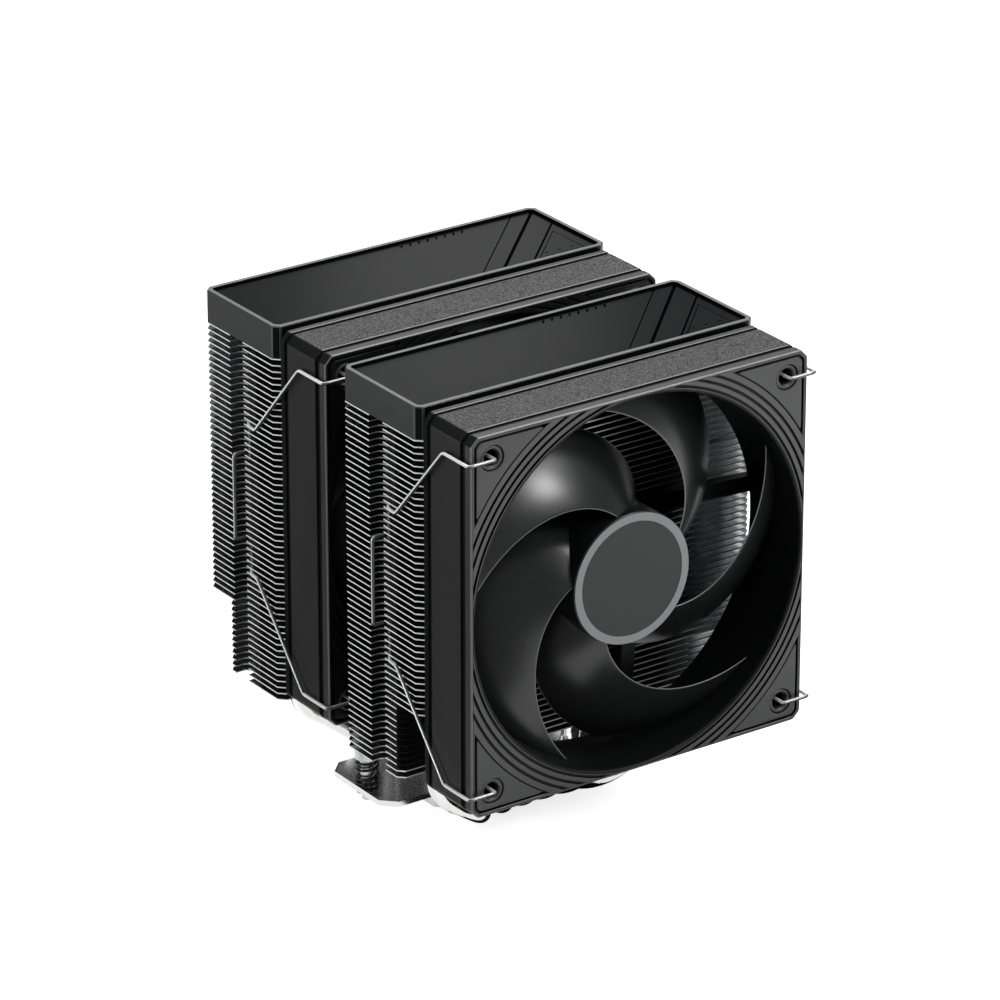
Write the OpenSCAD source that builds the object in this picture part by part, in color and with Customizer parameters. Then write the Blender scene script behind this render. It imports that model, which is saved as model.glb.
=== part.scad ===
// Dual-tower CPU cooler with two 120 mm fans, six heat pipes and wire fan clips.
// Millimetres. The origin is the centre of the cold plate's contact face, +Z is up,
// X runs across the fins and -Y points to the front (intake) fan.

/* [Fin towers] */
// How far a fin stands out beside the fan on each side
fin_margin = 0.4; // [0.2:0.1:2]
// Depth of one tower along Y
tower_d = 39.6; // [36:0.2:46]
// Distance from the middle of the cold plate to the middle of a tower
tower_offset = 37.4; // [36:0.1:42]
// Fins in one tower
fin_count = 56; // [50:1:58]
// Distance from fin to fin
fin_pitch = 2.025; // [1.95:0.025:2.1]
// Thickness of a fin
fin_t = 0.4; // [0.3:0.05:0.5]
// Height of the lowest fin above the contact face
fin_bottom = 34.8; // [32:0.1:38]
// Corner chamfer of fins and covers
corner_cut = 2; // [1:0.1:3]
// Low fins that are cut back on the tower's outer side
short_fins = 12; // [4:1:18]
// Depth of that cut
short_cut = 10.2; // [6:0.1:12]
// Where the clip notch starts behind the tower's front face
notch_y = 18; // [17.5:0.1:18.4]
// Length of the clip notch along Y
notch_l = 7.2; // [6.5:0.1:8]
// Depth of the clip notch
notch_d = 4.6; // [4.4:0.1:5.2]
// Radius of the notch's rounded rear lobe
notch_lobe_r = 2.2; // [1.5:0.1:2.3]
// Wall of the collar round each pipe hole
collar_wall = 0.3; // [0.2:0.05:0.5]
// Room between a collar and the next fin
collar_gap = 0.05; // [0.02:0.01:0.2]

/* [Heat pipes] */
// Diameter of a heat pipe
pipe_d = 6; // [5.6:0.1:6.2]
// Number of heat pipes
pipe_count = 6; // [6:1:6]
// Distance between pipes in the base
base_pitch = 7; // [6.6:0.1:7.2]
// Distance between pipes in the fins
leg_pitch = 16.5; // [15:0.1:17]
// Radius of the bend that leaves the base
bend_r = 17; // [15:0.1:17.6]
// Radius of the bend that turns upright under the fins
upright_r = 12; // [10:0.1:14]
// Straight stretch between the two bends
bend_gap = 6; // [4:0.1:7]
// How much fatter a bend's radius is than a straight stretch's
bend_swell = 0.03; // [0.02:0.01:0.1]
// How far the pipes stand above the top fin
pipe_tip = 5; // [4:0.1:6]
// Length of the tapered tip
tip_taper = 1.8; // [1:0.1:2.4]
// Diameter at the end of the tip
tip_d = 3.4; // [2:0.1:4.5]
// Room for solder round a pipe
solder = 0.05; // [0.02:0.01:0.1]

/* [Base] */
// Width of the cold plate
cold_w = 44; // [43:0.1:48]
// Length of the cold plate along the pipes
cold_l = 38; // [34:0.1:40]
// Thickness of the cold plate, up to the pipe centres
cold_t = 3.8; // [3.5:0.1:5]
// Corner chamfer of the cold plate
cold_cut = 2; // [1:0.1:3]
// Width of the clamp block
clamp_w = 55; // [52:0.1:60]
// Length of the clamp block
clamp_l = 36; // [34:0.1:38]
// Thickness of the clamp block
clamp_t = 3.8; // [3.6:0.1:5]
// Length of the mounting bar across X
bar_w = 90; // [88:0.2:96]
// Width of the mounting bar along Y
bar_l = 33; // [30:0.2:36]
// Thickness of the mounting bar
bar_t = 1.8; // [1.5:0.1:2.4]
// Corner chamfer of the mounting bar
bar_cut = 4.4; // [2:0.1:6]
// Distance between the clamp screws across X
clamp_screw_x = 48; // [47.6:0.1:50]
// Distance between the clamp screws along Y
clamp_screw_y = 24; // [18:0.1:26]
// Shank diameter of a clamp screw
clamp_screw_d = 2.5; // [2:0.1:2.6]
// Head diameter of a clamp screw
clamp_head_d = 4.6; // [4:0.1:5]
// Head height of a clamp screw
clamp_head_h = 1.2; // [0.8:0.1:1.5]
// Width of the hexagon socket in a clamp screw
clamp_socket_d = 1.9; // [1.6:0.1:2.2]
// Height of a clamp screw's end above the pipe centres
clamp_screw_end = 0.6; // [0.3:0.1:1]

/* [Spring screws] */
// Distance between the two spring screws
screw_span = 82; // [78:0.2:83]
// Thread diameter of a spring screw
screw_d = 3.5; // [3:0.1:3.8]
// Diameter of the shank inside the spring
shank_d = 4.4; // [4.2:0.1:4.6]
// Head diameter
head_d = 8; // [7.4:0.1:8.6]
// Head height
head_h = 4; // [3:0.1:5]
// Width of the driver slot
slot_w = 1.2; // [0.8:0.1:1.6]
// Length of the driver slot
slot_l = 5.2; // [4:0.1:6]
// Depth of the driver slot
slot_depth = 1.6; // [1:0.1:2]
// Room round the shank in the bar
shank_room = 0.25; // [0.2:0.05:0.4]
// Height of the relaxed spring
spring_h = 8.6; // [8:0.1:10]
// Outer diameter of the spring
spring_d = 7.6; // [7.2:0.1:7.8]
// Wire diameter of the spring
spring_wire = 0.9; // [0.7:0.05:1]
// Turns of the spring
spring_turns = 4.5; // [4:0.5:5.5]
// Room above and below a part that slides
slide_room = 0.2; // [0.1:0.05:0.4]
// Thickness of the retaining clip under the bar
ring_t = 0.6; // [0.4:0.05:0.8]
// Outer diameter of the retaining clip
ring_d = 7; // [6.4:0.1:7.6]
// Opening of the retaining clip
ring_open = 2.8; // [2:0.1:3.2]
// Length of the screw's collar below the retaining clip
ring_land = 0.5; // [0.4:0.1:0.8]
// Height of the screw's lower end above the contact face
screw_end = 4.2; // [4.1:0.1:4.8]

/* [Fans] */
// Width and height of a fan
fan_w = 120; // [120:0.1:120.4]
// Depth of a fan
fan_d = 25; // [24.6:0.1:26]
// Height of the fans' lower edge above the contact face
fan_lift = 36.2; // [35:0.1:37]
// Wall of the frame beside the bore, at the middle of a side
bore_wall = 1.5; // [1.2:0.1:1.8]
// Chamfer of the frame's outer corners
frame_cut = 2.5; // [1.5:0.1:3]
// Width of the outer grooves round the frame
groove_w = 1.5; // [1:0.1:2]
// Depth of the outer grooves
groove_depth = 0.7; // [0.4:0.1:0.8]
// Width of the flange in front of a groove and behind it
flange_t = 3.2; // [2.6:0.1:3.6]
// Widening of the bore's mouth
mouth = 0.7; // [0.4:0.1:0.8]
// Distance of a corner hole from the frame's edges
hole_edge = 7.5; // [7.3:0.05:7.6]
// Radius of a corner hole
hole_r = 2.4; // [2.35:0.05:2.5]
// Shallow rings on the front corners
ring_count = 3; // [2:1:3]
// Distance of the first shallow ring outside the bore
ring_first = 1.9; // [1.2:0.1:2.2]
// Distance from ring to ring
ring_pitch = 2.2; // [1.6:0.1:2.4]
// Width of a shallow ring
ring_w = 0.5; // [0.3:0.1:0.8]
// Depth of a shallow ring
ring_depth = 0.5; // [0.3:0.1:0.8]
// Struts behind the blades
strut_count = 4; // [3:1:5]
// Width of a strut
strut_w = 5; // [4:0.1:6]
// Depth of a strut and of the motor base
strut_t = 3.4; // [3:0.1:3.6]
// Distance of a strut's middle line from the fan axis
strut_offset = 14; // [10:0.1:15]
// Lean of a strut towards the fan axis
strut_lean = 4; // [0:0.5:6]
// Rim of the motor base outside the hub
base_rim = 0.8; // [0.4:0.1:1.2]
// Distance of the cable notch from the middle of the frame's side
cable_at = 18; // [12:0.5:30]
// Width of the cable notch
cable_w = 3.4; // [2.5:0.1:4]
// Depth of the cable notch from the frame's side
cable_in = 3; // [2:0.1:4]
// Height of the cable notch from the fan's rear face
cable_h = 2.2; // [1.5:0.1:2.6]

/* [Corner pads] */
// Frame rim round the pads
pad_rim = 1.6; // [1.2:0.1:2]
// Distance of a pad's curved edge outside the bore
pad_edge = 8.9; // [8.1:0.1:9.5]
// Depth of the seat that a pad lies in
pad_seat = 1.2; // [1:0.1:1.6]
// How far the rear pads stand proud and hold the fan off the fins
pad_proud = 1; // [0.6:0.1:1.4]
// Open groove round a pad
pad_gap = 0.35; // [0.2:0.05:0.5]
// Radius of the opening in a pad round the corner hole
pad_hole_r = 4; // [3.6:0.1:4.4]

/* [Impeller] */
// Radius of the hub
hub_r = 20.7; // [20.4:0.1:21]
// Depth of the hub's front face behind the fan's front face
hub_front = 4.6; // [4:0.1:5]
// Distance of the hub's rear edge from the fan's rear face
hub_back = 5; // [4.4:0.1:5.4]
// Wall of the hub
hub_wall = 1.7; // [1.4:0.1:1.7]
// Thickness of the hub's front wall
hub_face_t = 1.8; // [1.4:0.1:2.2]
// Radius of the boss that holds the shaft
boss_r = 3.4; // [2.8:0.1:4]
// Blades
blade_count = 5; // [5:1:7]
// Room between the blade tips and the bore
tip_gap = 1; // [0.8:0.1:2]
// Angle of the first blade's leading edge at the hub
blade_start = 31; // [0:1:71]
// Forward sweep of the leading edge in degrees for each millimetre of radius
blade_sweep = 1.97; // [1:0.01:2.2]
// Angle that a blade covers
blade_chord = 50; // [40:1:56]
// Depth of the leading edge
lead_depth = 4.6; // [4.6:0.1:6]
// Distance of the trailing edge from the fan's rear face
trail_back = 4.2; // [4.1:0.1:6]
// Share of the blade's curve that lies near its trailing edge
blade_camber = 0.3; // [0:0.05:0.5]
// Greatest thickness of a blade
blade_t = 1.6; // [1.2:0.1:2]
// Thickness of a blade's edges
edge_t = 0.5; // [0.4:0.1:0.7]
// Inner radius of the hub's trim ring
trim_r = 18; // [17:0.1:18.6]
// Step from the hub's edge to the trim ring
trim_step = 0.2; // [0.1:0.05:0.5]
// Thickness of the trim ring
trim_t = 0.5; // [0.3:0.1:0.6]
// Thickness of the hub disc inside the trim ring
disc_t = 0.4; // [0.2:0.1:0.5]

/* [Motor] */
// Shaft diameter
shaft_d = 3; // [2.8:0.1:3.2]
// Running room round the shaft
shaft_room = 0.03; // [0.02:0.01:0.06]
// Distance of the shaft's front end behind the hub's face
shaft_seat = 0.8; // [0.6:0.1:1.2]
// Length of the shaft behind its washer
shaft_tail = 0.5; // [0.3:0.1:0.8]
// Depth of the washer's neck in the shaft
neck_depth = 0.4; // [0.3:0.05:0.6]
// Thickness of the washer that keeps the shaft in
keeper_t = 0.4; // [0.3:0.05:0.5]
// Outer diameter of that washer
keeper_d = 5; // [4.2:0.1:5.4]
// Room between the bearing and the washer
keeper_gap = 0.3; // [0.2:0.05:0.5]
// Room behind the shaft's rear end
tail_room = 0.6; // [0.4:0.1:1]
// Assembly room between fixed motor parts
motor_room = 0.05; // [0.02:0.01:0.1]
// Outer diameter of the bearing sleeve
bearing_d = 8; // [7.4:0.1:8.4]
// Wall of the bearing tube on the motor base
tube_wall = 1.5; // [1.2:0.1:1.7]
// Distance between the rotor cup's web and the bearing
bearing_gap = 2.6; // [2:0.1:3]
// Length of the bearing tube in front of the bearing
tube_lip = 0.3; // [0.2:0.1:0.6]
// Room between the hub's boss and the bearing
boss_gap = 1; // [0.6:0.1:1.4]
// Distance of the bearing's rear end from the fan's rear face
bearing_back = 3; // [2.8:0.1:3.4]
// Thickness of the steel rotor cup
yoke_t = 1; // [0.8:0.05:1.1]
// Distance of the cup's rear edge inside the hub's
cup_inset = 0.5; // [0.3:0.1:0.8]
// Thickness of the magnet ring
magnet_t = 2; // [1.6:0.1:2.2]
// Distance between the cup's web and the magnet ring
magnet_gap = 1.3; // [0.8:0.1:2]
// Distance of the magnet ring's rear edge inside the hub's
magnet_inset = 0.8; // [0.5:0.1:1.2]
// Air gap between magnet and stator
air_gap = 0.6; // [0.4:0.05:0.8]
// Stator poles
pole_count = 4; // [4:2:4]
// Distance between the cup's web and the lamination stack
core_gap = 3.6; // [3.2:0.1:4]
// Distance between the lamination stack and the circuit board
core_to_board = 3.1; // [2.8:0.1:3.6]
// Width of the stack's inner ring
core_rim_t = 1.8; // [1.4:0.1:2.2]
// Width of a stator arm
arm_w = 4; // [3:0.1:4.4]
// Thickness of a pole shoe
shoe_t = 2; // [1.6:0.1:2.4]
// Gap between two pole shoes
shoe_gap = 2.4; // [1.6:0.1:3]
// Thickness of a winding
coil_t = 1.8; // [1.2:0.1:1.9]
// Room between a winding and the stack's inner ring
coil_in = 0.8; // [0.5:0.1:1.2]
// Room between a winding and its pole shoe
coil_out = 0.6; // [0.4:0.1:1]
// Thickness of the circuit board
board_t = 1; // [0.8:0.1:1.2]
// Diameter of the circuit board
board_d = 30; // [26:0.2:31]
// Distance of the board's front face from the motor base
board_lift = 2; // [1.6:0.1:2.4]

/* [Wire clips] */
// Wire diameter
wire_d = 1.1; // [1:0.05:1.35]
// How far a wire tip reaches into the fan's corner hole
clip_tip = 3.4; // [2.6:0.1:3.5]
// Distance of the wire in front of the fan's face
clip_front = 1.6; // [1.4:0.1:2]
// Distance of the wire beside the fin ends
clip_side = 1.4; // [1.2:0.1:2]
// Where the wire turns down to its hook, behind the fan's front face
clip_turn = 11.3; // [8:0.1:14]
// Height of a hook above or below the fan's middle
hook_z = 24; // [20:0.5:28]
// Start of the hook before the notch
hook_y = 8.2; // [7:0.1:9]
// Straight length of the hook on the fin ends
hook_l = 4.2; // [3:0.1:4.8]
// Distance of the hook beside the fin ends
hook_side = 1; // [0.95:0.05:1.3]
// Depth of the locking leg inside the fin ends
leg_in = 3.2; // [2.8:0.1:3.4]
// Distance of the locking leg behind the notch's front wall
leg_y = 1.6; // [1.5:0.1:2]
// Half the height of the finger loop
loop_z = 14; // [10:0.5:17]
// How far the finger loop stands out
loop_out = 2.8; // [2:0.1:4]
// Radius of the wire's bends
wire_bend = 1.2; // [0.9:0.1:1.3]

/* [Top covers] */
// Height of a cover
cover_h = 10.4; // [9:0.1:12]
// Wall of a cover
cover_wall = 1.6; // [1.4:0.1:2]
// Thickness of the deck under the panel
deck_t = 1.2; // [1:0.1:1.6]
// Bevel of the cover's top edge
cover_bevel = 0.9; // [0.5:0.1:1.1]
// Depth of the panel below the rim
panel_drop = 0.9; // [0.5:0.1:1.2]
// Thickness of the panel
panel_t = 1; // [0.8:0.1:1.2]
// Room round the panel
panel_gap = 0.15; // [0.1:0.05:0.3]
// Depth of the grooves in the panel
panel_groove = 0.4; // [0.2:0.05:0.6]
// Where the thin line starts, from the panel's middle
thin_line_x = 15; // [10:0.5:20]
// Width of the thin line
thin_line_w = 0.4; // [0.3:0.05:0.6]
// Where the broad line starts
broad_line_x = 23; // [20:0.5:28]
// Width of the broad line
broad_line_w = 1.1; // [0.8:0.1:1.4]
// Where the last line starts
last_line_x = 34; // [30:0.5:38]
// Width of the last line
last_line_w = 0.7; // [0.5:0.1:1]
// Short marks along the panel's rear edge
mark_count = 8; // [4:1:10]
// Where the first mark stands, from the panel's middle
mark_x = 8.6; // [4:0.1:10]
// Distance from mark to mark
mark_pitch = 3.2; // [2.6:0.1:3.6]
// Length of a mark
mark_l = 2.4; // [1.6:0.1:3]
// Width of a mark
mark_w = 0.6; // [0.4:0.1:1]
// Slant of a mark
mark_turn = 55; // [30:5:80]
// Distance of the marks' middle from the panel's edge
mark_edge = 2.4; // [2:0.1:4]
// Distance of the corner triangle from the panel's right edge
corner_right = 4.1; // [2:0.1:5]
// Distance of the corner triangle from the panel's front edge
corner_front = 1.7; // [1.4:0.1:3]
// Length of the corner triangle's two straight sides
corner_l = 17; // [15.5:0.5:17]
// Width of the corner triangle's line
corner_line_w = 0.3; // [0.2:0.05:0.5]
// Small dots inside the corner triangle
dot_count = 3; // [1:1:3]
// Diameter of a dot
dot_d = 0.9; // [0.5:0.1:1.2]
// Distance from dot to dot
dot_pitch = 4.8; // [3:0.1:5]
// Distance of the dots from the triangle's straight sides
dot_edge = 2.8; // [1.6:0.1:2.8]
// Wall of the sockets that sit on the pipe tips
socket_wall = 1.2; // [0.8:0.1:1.6]
// Room round a pipe tip in its socket
socket_room = 0.1; // [0.05:0.01:0.2]

/* [Hidden] */
$fn = 64;
wire_sides = 8;
bend_steps = 3;
spring_rings = 14;
blade_rows = 9;
blade_cols = 7;

fin_w = fan_w + 2 * fin_margin;
pipe_r = pipe_d / 2;
fin_top = fin_bottom + (fin_count - 1) * fin_pitch + fin_t;
pipe_top = fin_top + pipe_tip;
pipe_z = cold_t;
bend_lap = 0.5;
clamp_top = cold_t + clamp_t;
bar_top = clamp_top + bar_t;
collar_r = pipe_r + solder + collar_wall;

fan_z = fan_lift + fan_w / 2;
front_fan_y = -tower_offset - tower_d / 2 - pad_proud - fan_d;
middle_fan_y = tower_offset - tower_d / 2 - pad_proud - fan_d;
base_front = fan_d - strut_t;
fan_to_notch = fan_d + pad_proud + notch_y;
fan_bore_r = fan_w / 2 - bore_wall;
hole_span = fan_w - 2 * hole_edge;
pad_arc_r = fan_bore_r + pad_edge;
strut_lap = 0.3;

tip_r = fan_bore_r - tip_gap;
hub_rear = fan_d - hub_back;
trail_depth = fan_d - trail_back;
cup_front = hub_front + hub_face_t;
web_rear = cup_front + yoke_t;
bearing_front = web_rear + bearing_gap;
bearing_rear = fan_d - bearing_back;
boss_rear = bearing_front - boss_gap;
keeper_front = bearing_rear + keeper_gap;
shaft_front = hub_front + shaft_seat;
shaft_rear = keeper_front + keeper_t + shaft_tail;
neck_r = shaft_d / 2 - neck_depth;

yoke_r = hub_r - hub_wall - motor_room;
magnet_r = yoke_r - yoke_t - motor_room;
core_r = magnet_r - magnet_t - air_gap;
tube_r = bearing_d / 2 + motor_room + tube_wall;
core_in_r = tube_r + motor_room;
board_front = base_front - board_lift;
core_front = web_rear + core_gap;
core_l = board_front - core_to_board - core_front;

spring_bottom = bar_top;
head_bottom = bar_top + spring_h + slide_room;
ring_top = clamp_top - slide_room;
wire_r = wire_d / 2;

// Shared shapes

// A rectangle about the origin with cut corners
module cut_rect(w, l, cut) {
    polygon([[-w / 2 + cut, -l / 2], [w / 2 - cut, -l / 2], [w / 2, -l / 2 + cut], [w / 2, l / 2 - cut],
        [w / 2 - cut, l / 2], [-w / 2 + cut, l / 2], [-w / 2, l / 2 - cut], [-w / 2, -l / 2 + cut]]);
}

// A tube between two depths
module tube(outer_r, inner_r, from, to) {
    translate([0, 0, from])
        linear_extrude(to - from)
            difference() {
                circle(outer_r);
                circle(inner_r);
            }
}

// Faces of a closed loft through rings of equal size, which pair up across each end
function loft_faces(rings, n) = concat(
    [for (i = [0:rings - 2], j = [0:n - 1])
        each [[i * n + j, (i + 1) * n + j, (i + 1) * n + (j + 1) % n],
              [i * n + j, (i + 1) * n + (j + 1) % n, i * n + (j + 1) % n]]],
    [for (j = [0:n / 2 - 2])
        each [[j, j + 1, n - 2 - j], [j, n - 2 - j, n - 1 - j]]],
    [let (o = (rings - 1) * n) for (j = [0:n / 2 - 2])
        each [[o + j, o + n - 2 - j, o + j + 1], [o + j, o + n - 1 - j, o + n - 2 - j]]]);

module loft(rings) {
    polyhedron([for (ring = rings) each ring], loft_faces(len(rings), len(rings[0])));
}

// Wire paths: corners become short curves, and a frame is carried along without twisting
function unit(v) = v / norm(v);
function curve(a, b, c, t) = (1 - t) * (1 - t) * a + 2 * t * (1 - t) * b + t * t * c;
function rounded(path, r) = concat([path[0]],
    [for (i = [1:len(path) - 2])
        let (a = path[i] + r * unit(path[i - 1] - path[i]), c = path[i] + r * unit(path[i + 1] - path[i]))
        for (k = [0:bend_steps]) curve(a, path[i], c, k / bend_steps)],
    [path[len(path) - 1]]);
function tangents(path) = [for (i = [0:len(path) - 1])
    unit(path[min(i + 1, len(path) - 1)] - path[max(i - 1, 0)])];
function carried(t, i, u) = i == len(t) ? []
    : let (v = unit(u - (u * t[i]) * t[i])) concat([v], carried(t, i + 1, v));

module wire(path, r, start_side) {
    t = tangents(path);
    u = carried(t, 0, start_side);
    loft([for (i = [0:len(path) - 1])
        let (v = cross(t[i], u[i]))
        [for (k = [0:wire_sides - 1])
            path[i] + r * (cos(360 * k / wire_sides) * u[i] + sin(360 * k / wire_sides) * v)]]);
}

// Base

module pipe_grooves(length) {
    for (i = [1:pipe_count])
        translate([(i - (pipe_count + 1) / 2) * base_pitch, length / 2 + 1, pipe_z])
            rotate([90, 0, 0])
                cylinder(r = pipe_r + solder, h = length + 2);
}

module cold_plate() {
    color("#b9bbbd")
        difference() {
            linear_extrude(cold_t)
                cut_rect(cold_w, cold_l, cold_cut);
            pipe_grooves(cold_l);
        }
}

module at_clamp_screws() {
    for (x = [-1, 1], y = [-1, 1])
        translate([x * clamp_screw_x / 2, y * clamp_screw_y / 2, 0])
            children();
}

module pipe_clamp() {
    color("#c4c6c8")
        difference() {
            translate([0, 0, cold_t])
                linear_extrude(clamp_t)
                    cut_rect(clamp_w, clamp_l, cold_cut);
            pipe_grooves(clamp_l);
            at_clamp_screws()
                translate([0, 0, cold_t - 1])
                    cylinder(d = clamp_screw_d + 2 * solder, h = clamp_t + 2);
        }
}

module at_spring_screws() {
    for (x = [-1, 1])
        translate([x * screw_span / 2, 0, 0])
            children();
}

module mounting_bar() {
    color("#d0d2d4")
        translate([0, 0, clamp_top])
            linear_extrude(bar_t)
                difference() {
                    cut_rect(bar_w, bar_l, bar_cut);
                    at_spring_screws()
                        circle(d = shank_d + 2 * shank_room);
                    at_clamp_screws()
                        circle(d = clamp_screw_d + 2 * solder);
                }
}

module clamp_screws() {
    color("#8d8f91")
        at_clamp_screws()
            difference() {
                union() {
                    translate([0, 0, cold_t + clamp_screw_end])
                        cylinder(d = clamp_screw_d, h = bar_top - cold_t - clamp_screw_end);
                    translate([0, 0, bar_top])
                        cylinder(d = clamp_head_d, h = clamp_head_h);
                }
                translate([0, 0, bar_top + clamp_head_h / 2])
                    cylinder(d = clamp_socket_d, h = clamp_head_h, $fn = 6);
            }
}

// side is -1 for the left screw and 1 for the right one
module spring_screw(side) {
    thread_r = screw_d / 2;
    shank_r = shank_d / 2;
    ring_bottom = ring_top - ring_t;
    color("#c9cbcd")
        translate([side * screw_span / 2, 0, 0])
            difference() {
                rotate_extrude()
                    polygon([[0, screw_end], [thread_r, screw_end], [thread_r, ring_bottom - ring_land],
                        [shank_r, ring_bottom - ring_land], [shank_r, ring_bottom - shaft_room],
                        [thread_r, ring_bottom - shaft_room], [thread_r, ring_top + shaft_room],
                        [shank_r, ring_top + shaft_room], [shank_r, head_bottom],
                        [head_d / 2, head_bottom], [head_d / 2, head_bottom + head_h],
                        [0, head_bottom + head_h]]);
                for (turn = [0, 90])
                    rotate(turn)
                        translate([-slot_w / 2, -slot_l / 2, head_bottom + head_h - slot_depth])
                            cube([slot_w, slot_l, slot_depth + 1]);
            }
}

module spring(side) {
    mean_r = (spring_d - spring_wire) / 2;
    rise = spring_h - spring_wire;
    steps = spring_turns * spring_rings;
    color("#1c1d1f")
        translate([side * screw_span / 2, 0, spring_bottom + spring_wire / 2])
            loft([for (i = [0:steps])
                let (a = 360 * i / spring_rings)
                [for (k = [0:wire_sides - 1])
                    let (b = -360 * k / wire_sides, r = mean_r + cos(b) * spring_wire / 2)
                    [r * cos(a), r * sin(a), rise * i / steps + sin(b) * spring_wire / 2]]]);
}

module retaining_ring(side) {
    color("#55585b")
        translate([side * screw_span / 2, 0, ring_top - ring_t])
            linear_extrude(ring_t)
                difference() {
                    circle(d = ring_d);
                    circle(d = screw_d + 2 * shaft_room);
                    translate([0, -ring_d / 2])
                        square([ring_open, ring_d], center = true);
                }
}

// Heat pipes

// Angle by which a leg leans outwards so that it gains the given run in X
function leg_lean(run) = let (a = bend_r + bend_gap)
    atan2(upright_r, a) + asin((run - upright_r) / norm([a, upright_r]));

module pipe_arc(r, angle) {
    rotate_extrude(angle = angle)
        translate([r, 0])
            circle(pipe_r + bend_swell);
}

// A leg that starts at the origin heading to -Y, bends up and outwards to +X, then stands upright
module pipe_leg(run) {
    lean = leg_lean(run);
    rise = (bend_r + bend_gap) * cos(lean) + upright_r * sin(lean);
    straight = pipe_top - tip_taper - pipe_z - rise;
    rotate([0, lean, 0]) {
        translate([0, 0, bend_r])
            rotate([180, 90, 0])
                pipe_arc(bend_r, 90);
        translate([0, -bend_r, bend_r - bend_lap])
            cylinder(r = pipe_r, h = bend_gap + 2 * bend_lap);
        translate([-upright_r, -bend_r, bend_r + bend_gap])
            rotate([90, 0, 0])
                pipe_arc(upright_r, lean);
    }
    translate([run, -bend_r, rise]) {
        translate([0, 0, -bend_lap])
            cylinder(r = pipe_r, h = straight + bend_lap);
        translate([0, 0, straight])
            cylinder(r1 = pipe_r, r2 = tip_d / 2, h = tip_taper);
    }
}

module heat_pipe(i) {
    place = i - (pipe_count + 1) / 2;
    half_run = tower_offset - bend_r;
    color("#b7babd")
        translate([place * base_pitch, 0, pipe_z])
            mirror([place < 0 ? 1 : 0, 0, 0]) {
                translate([0, half_run + bend_lap, 0])
                    rotate([90, 0, 0])
                        cylinder(r = pipe_r, h = 2 * (half_run + bend_lap));
                for (end = [0, 1])
                    mirror([0, end, 0])
                        translate([0, -half_run, 0])
                            pipe_leg(abs(place) * (leg_pitch - base_pitch));
            }
}

// Fin towers, drawn about the middle of the tower

module at_pipe_legs() {
    for (i = [1:pipe_count])
        translate([(i - (pipe_count + 1) / 2) * leg_pitch, 0, 0])
            children();
}

// Notch in a fin end with a square mouth and a rounded rear lobe
module clip_notch() {
    translate([fin_w / 2 - notch_d, notch_y - tower_d / 2])
        square([notch_d + 1, notch_l - notch_lobe_r]);
    translate([fin_w / 2 - notch_d + notch_lobe_r, notch_y + notch_l - notch_lobe_r - tower_d / 2])
        circle(notch_lobe_r);
    translate([fin_w / 2 - notch_d + notch_lobe_r, notch_y + notch_l - 2 * notch_lobe_r - tower_d / 2])
        square([notch_d, 2 * notch_lobe_r]);
}

// outer is -1 where the tower's outer side faces the front and 1 where it faces the rear
module fin_outline(outer, cut) {
    difference() {
        translate([0, -outer * cut / 2])
            cut_rect(fin_w, tower_d - cut, corner_cut);
        for (side = [0, 1])
            mirror([side, 0])
                clip_notch();
        at_pipe_legs()
            circle(pipe_r + solder);
    }
}

module fin_stack(outer) {
    color("#26272a")
        for (k = [0:fin_count - 1])
            translate([0, outer * tower_offset, fin_bottom + k * fin_pitch]) {
                linear_extrude(fin_t)
                    fin_outline(outer, k < short_fins ? short_cut : 0);
                if (k < fin_count - 1)
                    at_pipe_legs()
                        tube(collar_r, pipe_r + solder, fin_t, fin_pitch - collar_gap);
            }
}

// Top covers

panel_w = fin_w - 2 * cover_wall;
panel_l = tower_d - 2 * cover_wall;
panel_cut = max(corner_cut - cover_wall / 2, 0.5);

module cover_shell() {
    linear_extrude(cover_h - cover_bevel)
        cut_rect(fin_w, tower_d, corner_cut);
    hull() {
        translate([0, 0, cover_h - cover_bevel - 0.01])
            linear_extrude(0.01)
                cut_rect(fin_w, tower_d, corner_cut);
        translate([0, 0, cover_h - 0.01])
            linear_extrude(0.01)
                cut_rect(fin_w - 2 * cover_bevel, tower_d - 2 * cover_bevel, corner_cut);
    }
}

module cover(outer) {
    deck_top = cover_h - panel_drop - panel_t;
    deck_bottom = deck_top - deck_t;
    color("#3b3c3e")
        translate([0, outer * tower_offset, fin_top]) {
            difference() {
                cover_shell();
                translate([0, 0, deck_top])
                    linear_extrude(panel_drop + panel_t + 1)
                        cut_rect(panel_w, panel_l, panel_cut);
                translate([0, 0, -1])
                    linear_extrude(deck_bottom + 1)
                        cut_rect(fin_w - 2 * cover_wall, tower_d - 2 * cover_wall, panel_cut);
            }
            at_pipe_legs()
                tube(pipe_r + socket_room + socket_wall, pipe_r + socket_room, pipe_tip / 2, deck_bottom);
        }
}

// Straight grooves across the panel's right end, each [start, width]
panel_lines = [[thin_line_x, thin_line_w], [broad_line_x, broad_line_w], [last_line_x, last_line_w]];

// A thin triangle in the panel's front right corner, with a row of dots along its front side
module corner_triangle() {
    outline = [[0, 0], [0, corner_l], [-corner_l, 0]];
    difference() {
        polygon(outline);
        offset(delta = -corner_line_w)
            polygon(outline);
    }
    for (k = [0:dot_count - 1])
        translate([-dot_edge - k * dot_pitch, dot_edge])
            circle(d = dot_d);
}

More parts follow.
